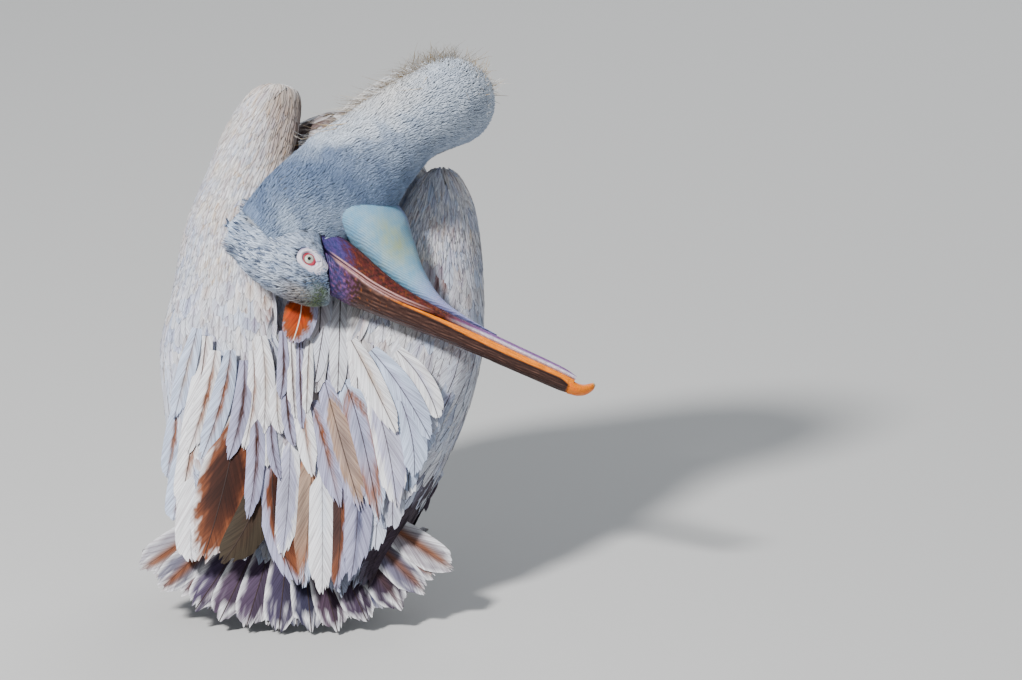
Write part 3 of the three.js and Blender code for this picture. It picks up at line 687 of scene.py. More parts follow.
t, a = stations(trunk_skin, gap=11.5, between=13.5, start=0.03, end=0.996, seed=1)
rng = np.random.default_rng(2)
root = trunk_skin(t, a)
count = len(t)
line, normal = lie(trunk_skin, t, a, rng.uniform(30, 40, count), way=-1, rows=3, sink=4.5,
                   lift=rng.uniform(0.1, 1.0, count), swing=rng.normal(0, 0.1, count))
half = blade(np.linspace(0, 1, 4), tip=0.5) * rng.uniform(10.5, 13, (count, 1))
back_side = np.clip(0.45 - np.sin(a), 0, 1)
mottle = (ramp(t, 0.66, 0.06) * back_side
          * np.clip(0.75 + 1.1 * ripple(root, 26, 5) + rng.normal(0, 0.4, count), 0, 1))
shading = rng.uniform(0, 1, (count, 1))
base = WHITE * (1 - shading) + SHADE_WHITE * shading
brown = np.clip(mottle - 0.35 * ripple(root, 13, 6) - 0.35, 0, 0.85)[:, None]
base = mixed(base, MANTLE_BROWN, brown)
paint = contour_paint(base, MANTLE_BROWN * rng.uniform(0.7, 1.4, (count, 1)), mottle)
coat = feathers("coat_trunk", line, normal, half, paint, at_root(t, a, 0.011), seed=3, camber=0.13,
                fray=0.3, shaft=0.2)
finish(coat, contour_vane, "plumage")

for side, title in ((-1, "left"), (1, "right")):
    t, a = stations(thigh_skin(side), gap=9, between=10, start=0.02, end=0.93, seed=11)
    count = len(t)
    line, normal = lie(thigh_skin(side), t, a, rng.uniform(17, 24, count) * (1.25 - 0.6 * t), way=1, rows=3,
                       sink=2.5, lift=rng.uniform(0.3, 2.0, count), swing=rng.normal(0, 0.12, count))
    half = (blade(np.linspace(0, 1, 4), tip=0.45) * rng.uniform(5.5, 7.5, (count, 1))
            * (1.2 - 0.5 * t[:, None]))
    base = WHITE * rng.uniform(0.9, 1.0, (count, 1))
    paint = contour_paint(base, base * 0.8, rng.uniform(0, 1, count))
    coat = feathers(f"coat_thigh_{title}", line, normal, half, paint, at_root(t, a, 0.03), seed=12, fray=0.4)
    finish(coat, contour_vane, "plumage")

# ---------------------------------------------------------------- plush of the neck
# Very short, dense, soft feathers, like velvet, each a little lock of loose barbs lying towards the body.
# Blue-grey, paling to near white over the top of the bend, with tan wisps standing off its rim.

plush_vane = vane_material("plush_vane", streaks=0.14, roughness=0.85, sheen=0.2, splits=0.12)
NECK_GREY, NECK_DARK, NECK_PALE = linear("7b90b0", "4b5e80", "d3dfee")
NECK_CREAM, WISP_TAN = linear("e8e6e2", "c2a05e")
HEAD_PALE, HEAD_DARK, FACE_TONE = linear("d3e0f2", "303c57", "b9cbe2")


def face_edge(points):
    """Height, seen from behind, of the line where the neck's plush passes into the face."""
    return np.interp(points[:, 0], [-110, -60, 0, 40], [450, 438, 432, 422])


def lock_paint(base, root_shade=0.55, tip_light=1.12):
    """Each lock's colour, darker at its root as painted shade where it lies under its neighbours, and lighter
    at its tip.
    """
    def paint(across, rise):
        light = root_shade + (tip_light - root_shade) * np.sqrt(np.clip(rise, 0, 1))
        return base[:, None, None] * light[..., None]
    return paint


def neck_colour(t, a, root):
    """Blue-grey near the head, near white on the bend's upper side, pale on the way down to the body."""
    pale = ramp(t, 0.16, 0.2) * ramp(root[:, 2], 525, 80)
    cream = ramp(t, 0.55, 0.2)
    outward = unit(neck_skin(t, a, 2.0) - neck_skin(t, a, 0.0))
    hind = np.clip((outward @ view_up - 0.06 - 0.2 * ripple(root, 30, 6)) / 0.35, 0, 1) * ramp(t, 0.66, -0.1)
    pale = np.clip(0.75 * pale + hind * ramp(root @ view_up, 505, 50), 0, 1)
    colour = NECK_GREY * (1 - pale[:, None]) + NECK_PALE * pale[:, None]
    warm = (hind * ramp(root @ view_up, 540, 60) * ramp(root[:, 0], 150, -60))[:, None]
    colour = colour * (1 - 0.8 * warm) + NECK_CREAM * 0.8 * warm
    colour = colour * (1 - cream[:, None]) + NECK_CREAM * 0.93 * cream[:, None]
    nape = (ramp(root[:, 0], 60, -150) * ramp(root @ view_up, 430, 60))[:, None]
    colour = mixed(colour, NECK_DARK, 0.4 * nape * (1 - pale[:, None]))
    above = root @ view_up - face_edge(root)
    near_head = (0.9 * np.exp(-np.clip(above / 26, 0, 9) ** 1.4) * ramp(root[:, 0], 80, -30))[:, None]
    near_head = near_head * (ramp(t, 0.2, -0.04) * ramp(root[:, 0], -78, 30))[:, None]
    colour = colour * (1 - near_head) + FACE_TONE * near_head
    dark = (np.clip(0.25 + 0.35 * ripple(root, 26, 3) + 0.25 * ripple(root, 9, 4), 0, 1)[:, None]
            * (1 - 0.7 * pale[:, None]))
    return mixed(colour, NECK_DARK, 0.5 * dark)


def in_head(points):
    """Points in the head's own forward, left and up."""
    return (points - HEAD_AT) @ np.stack([bill_way, left_way, crown_way], axis=-1)


def in_skull(points, grow=0.0):
    """Whether points lie inside the skull's near-ellipses grown by grow, each judged at its own section."""
    forward, left, up = np.moveaxis(in_head(points), -1, 0)
    sections = along(HEAD, np.linspace(0, 1, 120))
    miss = sections[:, 0] + sections[:, 4] * (up[:, None] - sections[:, 1]) - forward[:, None]
    _, middle, half, height, _ = sections[np.abs(miss).argmin(axis=1)].T
    power = HEAD_SQUARENESS
    apart = np.abs(left / (half + grow)) ** power + np.abs((up - middle) / (height + grow)) ** power
    return (apart < 1) & (np.abs(miss).min(axis=1) < 4)


def in_neck(points, grow=0.0):
    """Whether points lie inside the neck's ovals grown by grow, each judged at the nearest section."""
    t = np.linspace(0, 1, 160)
    line = along(NECK, t)
    way = unit(np.gradient(line[:, :3], axis=0))
    nearest = np.linalg.norm(points[:, None] - line[None, :, :3], axis=-1).argmin(axis=1)
    level = unit(np.cross(way[nearest], [0.0, 0.0, 1.0]))
    rise = np.cross(level, way[nearest])
    off = points - line[nearest, :3]
    up, side = np.sum(off * rise, axis=-1), np.sum(off * level, axis=-1)
    ends = np.abs(np.sum(off * way[nearest], axis=-1)) < 2.5
    return ends & (np.hypot(up / (line[nearest, 3] + grow), side / (line[nearest, 4] + grow)) < 1)


rng = np.random.default_rng(21)
# Four lengths of the neck: where each starts and ends, and how far apart its tufts are.
lengths = [(0.0, 0.24, 2.1), (0.24, 0.46, 2.1), (0.46, 0.7, 2.6), (0.7, 0.985, 3.4)]
for number, (start, end, spacing) in enumerate(lengths):
    t, a = stations(neck_skin, gap=spacing, between=spacing, start=start, end=end, seed=30 + number)
    root = neck_skin(t, a)
    kept = ~in_skull(root, 1.0)
    t, a, root = t[kept], a[kept], root[kept]
    count = len(t)
    clump = 0.7 * ripple(root, 13, 8) + 0.5 * ripple(root, 5, 9)
    length = 7.5 + 1.5 * clump + rng.uniform(-1.5, 1.5, count) + 4 * ramp(t, 0.7, 0.2)
    lift = np.clip(0.5 + 0.5 * clump + rng.normal(0, 0.3, count), 0.1, 2.2)
    line, normal = lie(neck_skin, t, a, np.maximum(length, 4), way=1, rows=2, sink=1.4, lift=lift,
                       swing=rng.normal(0.1 * clump, 0.2, count), curl=0.9)
    half = (blade(np.array([0, 0.5, 1.0]), root=0.5, belly=0.4, tip=0.25)
            * rng.uniform(0.35, 0.55, (count, 1)) * spacing)
    base = neck_colour(t, a, root) * rng.uniform(0.8, 1.12, (count, 1))
    plush = feathers(f"plush_neck_{number + 1}", line, normal, half,
                     lock_paint(base, root_shade=0.78, tip_light=1.08), at_root(t, a, 0.003),
                     seed=40 + number, columns=2, rounding=0.0, camber=0.35)
    finish(plush, plush_vane, "neck_plush")

# The wisps: thin curved hairs of the hind neck that stand up round the outer rim of the bend.
t, a = stations(neck_skin, gap=2.9, between=2.9, start=0.12, end=0.7, seed=51)
rng = np.random.default_rng(52)
outward = unit(neck_skin(t, a, 2.0) - neck_skin(t, a, 0.0))
on_rim = hill(outward @ to_viewer, 0.02, 0.3) * np.clip((outward @ view_up) / 0.4, 0, 1)
over_bend = ramp(neck_skin(t, a) @ view_up, 500, 70)
up_neck = hill(t, 0.33, 0.09)
kept = rng.uniform(0, 1, len(t)) < (0.35 + 0.65 * up_neck) * on_rim * over_bend
t, a, up_neck = t[kept], a[kept], up_neck[kept]
count = len(t)
length = 10 + 30 * rng.uniform(0, 1, count) ** 1.7 + 12 * up_neck * rng.uniform(0, 1, count)
line, normal = lie(neck_skin, t, a, length, way=-1, rows=5, sink=2,
                   lift=length * rng.uniform(0.25, 0.8, count), swing=rng.normal(0, 0.3, count), curl=1.35)
half = blade(np.linspace(0, 1, 6), root=0.8, belly=0.2, tip=0.1) * rng.uniform(0.35, 0.6, (count, 1))
base = NECK_CREAM * 0.95 + (WISP_TAN - NECK_CREAM * 0.95) * rng.uniform(0, 1, (count, 1)) ** 1.3
wisps = feathers("wisps_neck", line, normal, half, lock_paint(base, root_shade=0.8, tip_light=1.0),
                 at_root(t, a, 0.004), seed=53, columns=2, rounding=0.0)
finish(wisps, plush_vane, "neck_plush")

# ---------------------------------------------------------------- plush of the head
# Fine streaky feathers that sweep back from the bill over the face, longer towards the nape, where they
# end in a ragged crest. The skin round the eye is bare.

EYE_RADIUS = 9.5
EYE_AT = np.array([-24.8, 31.5, 22.3])
EYE_PATCH = np.array([-21.5, 22.0, 19.5, 13.0])
HEAD_GREY, EAR_DARK, STAIN, CROWN_TAN = linear("8097b9", "4d4850", "5d7034", "a8957a")


def eye_distance(points):
    """How far points of the left face lie from the bare patch's middle, 1 on its oval rim; big elsewhere."""
    forward, left, up = np.moveaxis(in_head(points), -1, 0)
    far = np.hypot((forward - EYE_PATCH[0]) / EYE_PATCH[2], (up - EYE_PATCH[1]) / EYE_PATCH[3])
    return np.where(np.abs(left) > 8, far, 9)


t, a = stations(head_skin, gap=1.9, between=1.9, start=0.0, end=0.992, seed=61)
spread = np.random.default_rng(60)
t = np.clip(t + spread.normal(0, 0.008, len(t)), 0, 0.992)
a = a + spread.normal(0, 0.02, len(a))
root = head_skin(t, a)
kept = (eye_distance(root) > 1.0) & ~in_neck(root, -9.0) & (t > 0.02)
t, a, root = t[kept], a[kept], root[kept]
count = len(t)
rng = np.random.default_rng(62)
forward, left, up = np.moveaxis(in_head(root), -1, 0)
back = np.clip(-forward / 125, 0, 1)
clump = ripple(root, 13, 12) + 0.7 * ripple(root, 6, 13)
length = 6.5 + 13 * back ** 1.2 + 2.2 * clump * (0.4 + back) + rng.uniform(-1, 1, count)
near_bill = np.clip((4 - forward) / 20, 0.6, 1)
lift = np.clip(0.5 + 2.6 * back + 1.2 * clump * (0.3 + back) + rng.normal(0, 0.4, count), 0.1, 7) * near_bill
line, normal = lie(head_skin, t, a, np.maximum(length, 4) * near_bill, way=-1, rows=3, sink=1.8, lift=lift,
                   swing=rng.normal(0.12 * clump, 0.2, count), curl=0.9)
half = (blade(np.linspace(0, 1, 4), root=0.5, belly=0.35, tip=0.2) * rng.uniform(0.75, 1.15, (count, 1))
        * (1 + 0.5 * back[:, None]))
pale = np.clip(0.35 + 0.4 * ripple(root, 20, 14)
               + 0.5 * ramp(forward, -20, -40) * ramp(up, -25, 40), 0, 1)[:, None]
dark = (np.clip(0.12 + 0.7 * ripple(root, 7, 15) + 0.35 * rng.normal(0, 1, count), 0, 1)[:, None]
        * (0.55 + 0.6 * back[:, None]))
base = HEAD_GREY * (1 - pale) + HEAD_PALE * pale
base = mixed(base, HEAD_DARK, 0.85 * dark)
ear = np.exp(-(((forward + 40) / 7) ** 2 + ((up + 14) / 6) ** 2))[:, None] * 0.8
base = mixed(base, EAR_DARK, ear)
tan = (ramp(up, 52, 8) * hill(forward, -12, 26))[:, None] * 0.6
base = base * (1 - tan) + CROWN_TAN * tan
stain = (ramp(up, 38, 8) * hill(forward, 10, 13) * (left > -12))[:, None] * 0.85
base = base * (1 - stain) + STAIN * stain
towards_neck = np.exp(-np.clip((face_edge(root) + 4 - root @ view_up) / 17, 0, 9))[:, None]
base = base * (1 - 0.7 * towards_neck) + FACE_TONE * 0.7 * towards_neck
base = base * rng.uniform(0.82, 1.12, (count, 1))
plush = feathers("plush_head", line, normal, half, lock_paint(base, root_shade=0.45, tip_light=1.22),
                 at_root(t, a, 0.003), seed=63, columns=2, rounding=0.0, camber=0.35)
finish(plush, plush_vane, "neck_plush")

# The crest: longer loose locks that stand off the nape, darker towards their tips.
NAPE = [[-136, 10, 20, 32, 0], [-118, 9, 29, 42, 0.05], [-92, 6, 37, 55, 0.1], [-56, 4, 43, 66, 0.2]]


def nape_skin(t, a, grow=0.0):
    """The back of the skull left open behind, so that its locks run straight on."""
    forward, middle, half, height, slant = np.moveaxis(along(NAPE, t), -1, 0)
    left, up = oval(a, half + grow, height + grow, HEAD_SQUARENESS)
    return of_head(forward + slant * up, left, middle + up)


t, a = stations(nape_skin, gap=2.9, between=2.9, start=0.26, end=0.95, seed=71)
rng = np.random.default_rng(72)
kept = ~in_neck(nape_skin(t, a), -12.0) & (rng.uniform(0, 1, len(t)) < 1.15 - t)
t, a = t[kept], a[kept]
root = nape_skin(t, a)
count = len(t)
tuft = 0.5 + 0.5 * ripple(root, 15, 74)
length = rng.uniform(10, 16, count) + 15 * tuft * np.clip(1.1 - t, 0, 1)
line, normal = lie(nape_skin, t, a, length, way=-1, rows=5, sink=3,
                   lift=rng.uniform(0.5, 2.5, count) + 3 * tuft, swing=rng.normal(0, 0.16, count), curl=1.3)
half = blade(np.linspace(0, 1, 6), root=0.6, belly=0.3, tip=0.08) * rng.uniform(0.6, 1.2, (count, 1))
share = rng.uniform(0, 1, (count, 1))
base = HEAD_PALE * share + HEAD_GREY * (1 - share) * 0.85
tips = np.where(rng.uniform(0, 1, (count, 1)) < 0.45, HEAD_DARK * 0.8, base)


def crest_paint(across, rise):
    """Each lock's base colour, shaded at the root, mixed to its tip's colour over the last half."""
    end = ramp(rise, 0.35, 0.5)[..., None]
    shade = (0.6 + 0.45 * np.sqrt(rise))[..., None]
    return mixed(base[:, None, None], tips[:, None, None], end) * shade


crest = feathers("crest", line, normal, half, crest_paint, at_root(t, a, 0.004), seed=73, columns=2,
                 rounding=0.0, camber=0.3)
finish(crest, plush_vane, "neck_plush")

# ---------------------------------------------------------------- wings
# Each folded wing is covered from the wrist down in four orders of feathers: fine rows of small coverts,
# broader median ones, long greater coverts with thin dark shafts, and the flight feathers. All are rooted
# in the wing's edge above them and overlap downwards.

PALETTE = {name: linear(code)[0] for name, code in (
    ("white", "ebecef"), ("pale", "bfcde6"), ("lilac", "a5a6c2"), ("tan", "9f8168"), ("brown", "3a1c12"),
    ("rust", "7a4428"), ("orange", "b03c00"), ("olive", "3b3226"), ("slate", "272a42"), ("cream", "e6e0d8"),
)}
wing_vane = vane_material("wing_vane", streaks=0.26, roughness=0.7, sheen=0.04, splits=0.6)
small_vane = vane_material("small_vane", streaks=0.2, roughness=0.75, sheen=0.15, splits=0.5, slant=3.0)


def marks(points, spots):
    """How strongly spots mark the back: the sum of amount * exp(-far^2), far in half sizes of a spot."""
    x, w = points[:, 0:1], (points @ view_up)[:, None]
    x0, w0, wide, high, amount = np.array(spots, float).T
    seen = np.exp(-(((x - x0) / wide) ** 2) - ((w - w0) / high) ** 2) * amount
    return np.clip(seen.sum(axis=1), 0, 1)


MANY_FEATHERS = 1500

# Rufous stains: x, height seen from behind, half sizes, amount.
RUST_MARKS = [
    [-140, 190, 45, 60, 0.75], [-70, 325, 14, 26, 0.9], [-165, 120, 30, 50, 0.5], [165, 440, 12, 24, 0.8],
    [155, 365, 18, 26, 0.8], [178, 400, 10, 40, 0.4], [150, 300, 20, 30, 0.3],
]


def wing_coat(skin, title, order, slot, nodes, gap, between, start, end, length, half, lift, seed, colours,
              stain=1.0, shaft=0.0, rows=3, columns=4, tip=0.6, rounding=0.35, fray=0.2, closed=0.0,
              material=None, first=0.0, last=2 * np.pi, sink=2.0):
    """One order of feathers laid over a wing or fan, from its edge down."""
    rng = np.random.default_rng(seed)
    t, a = stations(skin, gap, between, start, end, seed, first, last)
    count = len(t)
    long = rng.uniform(0.88, 1.12, count) * length
    rise = lift * rng.uniform(0.5, 1.1, count)
    line, normal = lie(skin, t, a, long, way=1, rows=rows, sink=sink + lift * 0.3, lift=rise,
                       swing=rng.normal(0, 0.07, count), stop=1.0)
    width = blade(np.linspace(0, 1, rows + 1), tip=tip) * half * rng.uniform(0.88, 1.12, (count, 1))
    middle = line[:, (rows + 1) // 2]
    rust = marks(middle, RUST_MARKS) * stain * (rng.uniform(0, 1, count) < 0.7)
    base, core, strength = colours(t, a, middle, rng)
    core = core * (1 - rust[:, None]) + PALETTE["rust"] * rust[:, None]
    paint = contour_paint(base, core, np.clip(strength + rust, 0, 1))
    # Few feathers have cells of their own on the baked map; very many share it by where they are rooted.
    side = int(np.ceil(np.sqrt(count)))
    patches = at_root(t, a, 0.008) if count > MANY_FEATHERS else in_cells(count, side, side)
    piece = feathers(f"{order}_{title}", line, normal, width, paint, patches, seed=seed + 1,
                     columns=columns, rounding=rounding, fray=fray, camber=0.08, shaft=shaft,
                     closed=closed, roll=0.03)
    finish(piece, material or wing_vane, slot, *nodes)


def wing_white(t, a, middle, rng):
    """
    Warm white high on the wing and cooler, bluer low down and on its outer side, as painted light and shade;
    browner on the inner fold at the top; greyer middles on some.
    """
    fold = ramp(middle[:, 0], -78, 26) * ramp(t, 0.02, 0.05) * ramp(t, 0.3, -0.08) * (middle[:, 0] < 0)
    # Painted light: the share of warm cream stands for sunlight high up and in the middle, pale blue for
    # shade low down and out at the sides.
    high = ramp(middle @ view_up, 200, 260) * np.clip(1.3 - np.abs(middle[:, 0]) / 190, 0.2, 1)
    share = np.clip(high + 0.3 * ripple(middle, 60, 91) + rng.normal(0, 0.18, len(t)), 0, 1)[:, None]
    base = PALETTE["cream"] * share + PALETTE["pale"] * (1 - share)
    lighter = rng.uniform(0, 0.8, (len(t), 1))
    base = base * (1 - lighter) + PALETTE["white"] * lighter
    base = base * (1 - 0.6 * fold[:, None]) + PALETTE["tan"] * 0.6 * fold[:, None]
    core = PALETTE["lilac"] * (1 - share) + PALETTE["tan"] * 1.3 * share
    return base * rng.uniform(0.82, 1.04, (len(t), 1)), core, rng.uniform(-0.3, 0.75, len(t)).clip(0, 1)


def grey_brown(t, a, middle, rng):
    """Flight feathers: slate brown towards the wing's fore edge and tip, pale on the inner ones."""
    low = ramp(middle[:, 2], 230, -60)
    low = low * np.where(middle[:, 0] < -20, 0.25, 1.0)
    low = low * np.where(middle[:, 0] > 0, np.clip((middle[:, 0] - 58) / 22, 0.3, 1), 1.0)
    dark = np.clip(ramp(middle[:, 1], -40, 110) * 0.75 + low * 0.9, 0, 1)[:, None]
    base = mixed(PALETTE["pale"], PALETTE["slate"] * 0.5 + PALETTE["brown"] * 0.6, dark)
    return base * rng.uniform(0.85, 1.1, (len(t), 1)), base * 0.6, rng.uniform(0.3, 0.8, len(t))


for skin_of, title, ends, seed in ((left_wing, "left", [0.0, 0.44, 0.56, 0.7, 0.74], 100),
                                   (right_wing, "right", [0.0, 0.3, 0.46, 0.64, 0.8], 200)):
    nodes = (f"wing_{title}_coverts",)
    wing_coat(skin_of, title, "lesser_coverts", "plumage", nodes, gap=5.6, between=6.4,
              start=ends[0] + 0.012, end=ends[1], length=32, half=3.7, lift=0.8, seed=seed,
              colours=wing_white, stain=0.5, shaft=0.25, rows=4, columns=4, tip=0.4, rounding=0.2,
              fray=0.25, material=small_vane)
    wing_coat(skin_of, title, "median_coverts", "plumage", nodes, gap=15, between=10.5,
              start=ends[1] - 0.03, end=ends[2], length=62, half=9.0, lift=0.7, seed=seed + 2,
              colours=wing_white, shaft=0.45, rows=5, columns=6, rounding=0.12, fray=0.1)
    wing_coat(skin_of, title, "greater_coverts", "plumage", nodes, gap=30, between=12.5,
              start=ends[2] - 0.06, end=ends[3], length=118, half=13, lift=1.2, seed=seed + 4,
              colours=wing_white, shaft=0.85, rows=9, columns=8, rounding=0.1, fray=0.05)
    wing_coat(skin_of, title, "flight_feathers", "plumage", (f"wing_{title}_flight",), gap=44, between=12,
              start=ends[3] - 0.08, end=ends[4], length=150, half=11, lift=1.5, seed=seed + 6,
              colours=grey_brown, stain=0.3, shaft=0.8, rows=10, columns=6, tip=0.55,
              rounding=0.1, closed=0.8)

# ---------------------------------------------------------------- scapulars and tertials
# Two loose fans of long feathers that hang from the back over the closed wings: the right wing's scapulars
# and the left wing's tertials. The lowest are broad and brown-centred with worn, serrated tips.

SCAPULARS = {
    "roots": [[-40, 16, 420], [-10, 15, 450], [40, 16, 452], [90, 15, 426], [130, 16, 386]],
    "tips": [[-48, -8, 250], [-36, -11, 120], [10, -13, 52], [60, -13, 62], [106, -8, 165], [150, 8, 285]],
    "arch": 6,
}
TERTIALS = {
    "roots": [[-184, 34, 330], [-152, 10, 352], [-104, 2, 360], [-64, 4, 350]],
    "tips": [[-189, 18, 205], [-173, 0, 108], [-118, -13, 80], [-66, -15, 66], [-50, -10, 150]],
    "arch": 5,
}
SHELL_HALF = 1.2

# The fans' outermost feathers one by one: x and w of root, middle and tip, half width, how many lie under
# it, base and core colour, strength of the core, darkness of the shaft, how far across the core lies.
SHOWN = {
    "tertials_shown": [
        [-162, 206, -178, 102, -186, 50, 17, 1, "pale", "rust", 1.2, 0.5, 0],
        [-178, 232, -188, 154, -195, 105, 13, 2, "pale", "rust", 1.2, 0.5, 0],
        [-148, 290, -162, 160, -179, 61, 17, 3, "white", "rust", 1.3, 0.9, 0],
        # This feather's olive is darkened by painted shade.
        [-72, 206, -77, 89, -126, -6, 30, 0.5, "olive", "brown", 0.5, 0.6, 0],
        [-142, 167, -162, 63, -162, -4, 22, 2, "white", "pale", 0.2, 0.4, 0],
        [-100, 217, -120, 102, -150, -6, 35, 8, "white", "brown", 1, 0.9, 0],
        [-90, 232, -82, 141, -92, 50, 12, 9, "lilac", "brown", 1.2, 0.5, 0],
        [-116, 271, -126, 206, -151, 128, 14, 9, "pale", "rust", 1.4, 0.7, 0],
        [-98, 258, -101, 193, -117, 127, 12, 10, "lilac", "brown", 1.1, 0.7, 0],
        [-136, 271, -147, 206, -168, 135, 14, 5, "white", "rust", 1.3, 0.6, 0],
        [-87, 271, -86, 206, -98, 139, 10, 6, "white", "rust", 0.5, 0.6, 0],
        [-160, 300, -172, 240, -186, 180, 13, 4, "pale", "tan", 0.5, 0.6, 0],
        [-76, 290, -71, 232, -73, 160, 13, 4, "white", "tan", 0.4, 0.6, 0],
    ],
    "scapulars_shown": [
        [-49, 167, -61, 76, -27, -38, 19, 3, "lilac", "brown", 1, 0.9, -0.5],
        [-6, 180, -12, 76, -20, -38, 18, 2, "pale", "tan", 0.9, 0.6, 0.5],
        [-38, 180, -40, 89, -48, 1, 15, 4, "white", "lilac", 0.8, 0.6, 0.2],
        [20, 167, 27, 63, 22, -43, 14, 2, "lilac", "brown", 0.9, 0.7, 0.5],
        [1, 167, 4, 63, 4, -46, 22, 4, "white", "pale", 0.3, 0.5, 0],
        [22, 193, 48, 89, 40, -30, 20, 2, "lilac", "slate", 1.3, 0.7, 0],
        [-12, 206, 4, 154, 27, 66, 16, 5, "lilac", "rust", 1.4, 0.5, 0],
        [6, 232, 27, 154, 55, 61, 17, 6, "lilac", "tan", 0.8, 0.8, -0.2],
        [31, 232, 53, 167, 78, 48, 20, 5, "pale", "lilac", 0.9, 0.9, 0.1],
        [53, 245, 83, 167, 100, 63, 20, 6, "white", "lilac", 0.7, 0.8, -0.3],
        [77, 258, 113, 180, 121, 105, 20, 7, "pale", "lilac", 0.5, 0.8, 0],
        [66, 271, 105, 219, 142, 154, 18, 8, "pale", "lilac", 0.5, 0.8, 0],
        [-30, 232, -22, 180, -8, 104, 13, 6, "white", "rust", 1.3, 0.5, 0],
        [40, 284, 66, 232, 100, 160, 15, 9, "white", "tan", 0.5, 0.8, 0],
        [100, 271, 134, 226, 152, 180, 15, 6, "white", "lilac", 0.5, 0.8, 0],
    ],
    "ruffled": [
        [-26, 352, -24, 318, -36, 276, 22, 10, "lilac", "orange", 1, -0.9, 0.2],
        [-49, 297, -48, 245, -53, 206, 8, 3, "lilac", "brown", 1.2, 0.7, 0],
        [-38, 291, -35, 226, -31, 180, 8, 4, "white", "brown", 0.5, 0.8, 0],
        [-27, 284, -25, 219, -22, 165, 6, 5, "lilac", "brown", 1.3, 0.8, 0],
        [-53, 245, -57, 200, -52, 160, 10, 5, "white", "tan", 0.4, 0.6, 0],
        [-43, 232, -43, 187, -32, 144, 8, 6, "lilac", "brown", 1.3, 0.8, 0],
        [-69, 213, -70, 161, -69, 117, 8, 4, "white", "pale", 0.2, 0.3, 0],
        [-61, 206, -64, 154, -52, 102, 8, 3, "lilac", "brown", 0.5, 0.6, 0],
        [-14, 284, -16, 232, -17, 187, 8, 4, "white", "tan", 0.4, 0.8, 0],
    ],
}


def fan_skin(roots, tips, arch):
    """Straight lines from a curve of roots to a curve of tips, bulged backwards by arch * sin(pi t)."""
    def skin(t, a, grow=0.0):
        root, tip = along(roots, a), along(tips, a)
        point = root + (tip - root) * np.asarray(t)[..., None]
        edge = np.sin(np.pi * np.clip(a, 0.1, 0.9)) ** 0.7
        forward = point[..., 1] - arch * np.sin(np.pi * t) * edge - SHELL_HALF - grow
        return stand(point[..., 0], forward, point[..., 2])
    return skin


def onto(fan, places, raised):
    """
    Points x, w of the plane that the back faces, laid on a fan: the nearest of its points in that plane,
    moved by what is left sideways and along the leaning back, smoothed, and raised along a normal between
    the fan's own and the way the back faces.
    """
    body_up = np.array([0.0, np.sin(LEAN), np.cos(LEAN)])
    t, s = np.meshgrid(np.linspace(0.01, 0.99, 130), np.linspace(0.02, 0.98, 90), indexing="ij")
    grid = fan(t, s).reshape(-1, 3)
    flat = np.stack([grid[:, 0], grid @ view_up], axis=-1)
    nearest = np.linalg.norm(places[:, :, None] - flat[None, None], axis=-1).argmin(axis=-1)
    left_over = places - flat[nearest]
    points = (grid[nearest] + left_over[..., :1] * [1.0, 0, 0]
              + left_over[..., 1:] * body_up / (body_up @ view_up))
    sheet = grid.reshape(*t.shape, 3)
    slope = unit(np.cross(np.gradient(sheet, axis=1), np.gradient(sheet, axis=0))).reshape(-1, 3)
    slope = slope * np.sign(slope @ to_viewer)[:, None]
    normal = slope[nearest] + 1.2 * to_viewer
    for _ in range(8):
        points[:, 1:-1] = (points[:, :-2] + 2 * points[:, 1:-1] + points[:, 2:]) / 4
        normal[:, 1:-1] = (normal[:, :-2] + 2 * normal[:, 1:-1] + normal[:, 2:]) / 4
    normal = unit(normal)
    return points + normal * raised, normal


def centred_paint(base, core, band, strength, at):
    """
    Base at the rim; inside an oval of the vane the core, darker towards its own middle, with a warm band
    on its edge, all frayed along the barbs. Weaker cores are a long streak beside the shaft instead.
    """
    def paint(across, rise):
        own = np.arange(len(base))[:, None, None] * 1.7
        barb = rise * 30 - np.abs(across) * 8
        wobble = (0.08 * np.sin(barb + own) + 0.06 * np.sin(2.3 * barb + 2 * own)
                  + 0.05 * np.sin(across * 29 + own))
        far = np.hypot((across - at[:, None, None]) / 1.02, (rise - 0.55) / 0.45) + wobble
        inside = ramp(far, 0.92, -0.1)[..., None] * strength[:, None, None, None]
        deep = ramp(far, 0.75, -0.6)[..., None]
        edge = 0.85 * hill(far, 0.78, 0.14)[..., None] * strength[:, None, None, None]
        low = (0.55 * ramp(rise, 0.62, 0.3) * ramp(far, 0.9, -0.2))[..., None]
        dark = mixed(core[:, None, None] * (1.25 - 0.6 * deep), band[:, None, None], low)
        full = mixed(mixed(base[:, None, None], dark, inside), band[:, None, None], edge)
        streak = hill(across + 0.12 + wobble, 0, 0.22) * hill(rise, 0.45, 0.35)
        streak = (streak * np.minimum(strength * 1.3, 1)[:, None, None])[..., None]
        thin = mixed(base[:, None, None], core[:, None, None], streak)
        is_full = (strength > 0.55) & (strength <= 1)
        return np.where(is_full[:, None, None, None], full, thin)
    return paint


fans = {"scapulars": fan_skin(**SCAPULARS), "tertials": fan_skin(**TERTIALS)}
FAN_NODES = {"scapulars": "scapulars_right", "tertials": "tertials_left"}
for name, seed, slot, reach in (("scapulars", 300, "plumage", 150), ("tertials", 340, "brown_feathers", 105)):
    fan = fans[name]
    node = (FAN_NODES[name],)
    wing_coat(fan, name, "long", slot, node, gap=34, between=15, start=0.34, end=0.56, length=reach,
              half=16, lift=0.6, seed=seed, colours=wing_white, stain=0.3, shaft=0.8, rows=12, columns=10,
              tip=0.7, rounding=0.1, fray=0.06, closed=1.2, first=0.03, last=0.97, sink=9)
    wing_coat(fan, name, "upper", slot, node, gap=33, between=13, start=-0.12, end=0.4, length=150, half=13,
              lift=2.0, seed=seed + 3, colours=wing_white, stain=0.8, shaft=0.95, rows=12, columns=8,
              rounding=0.1, fray=0.06, first=0.02, last=0.98, sink=14)

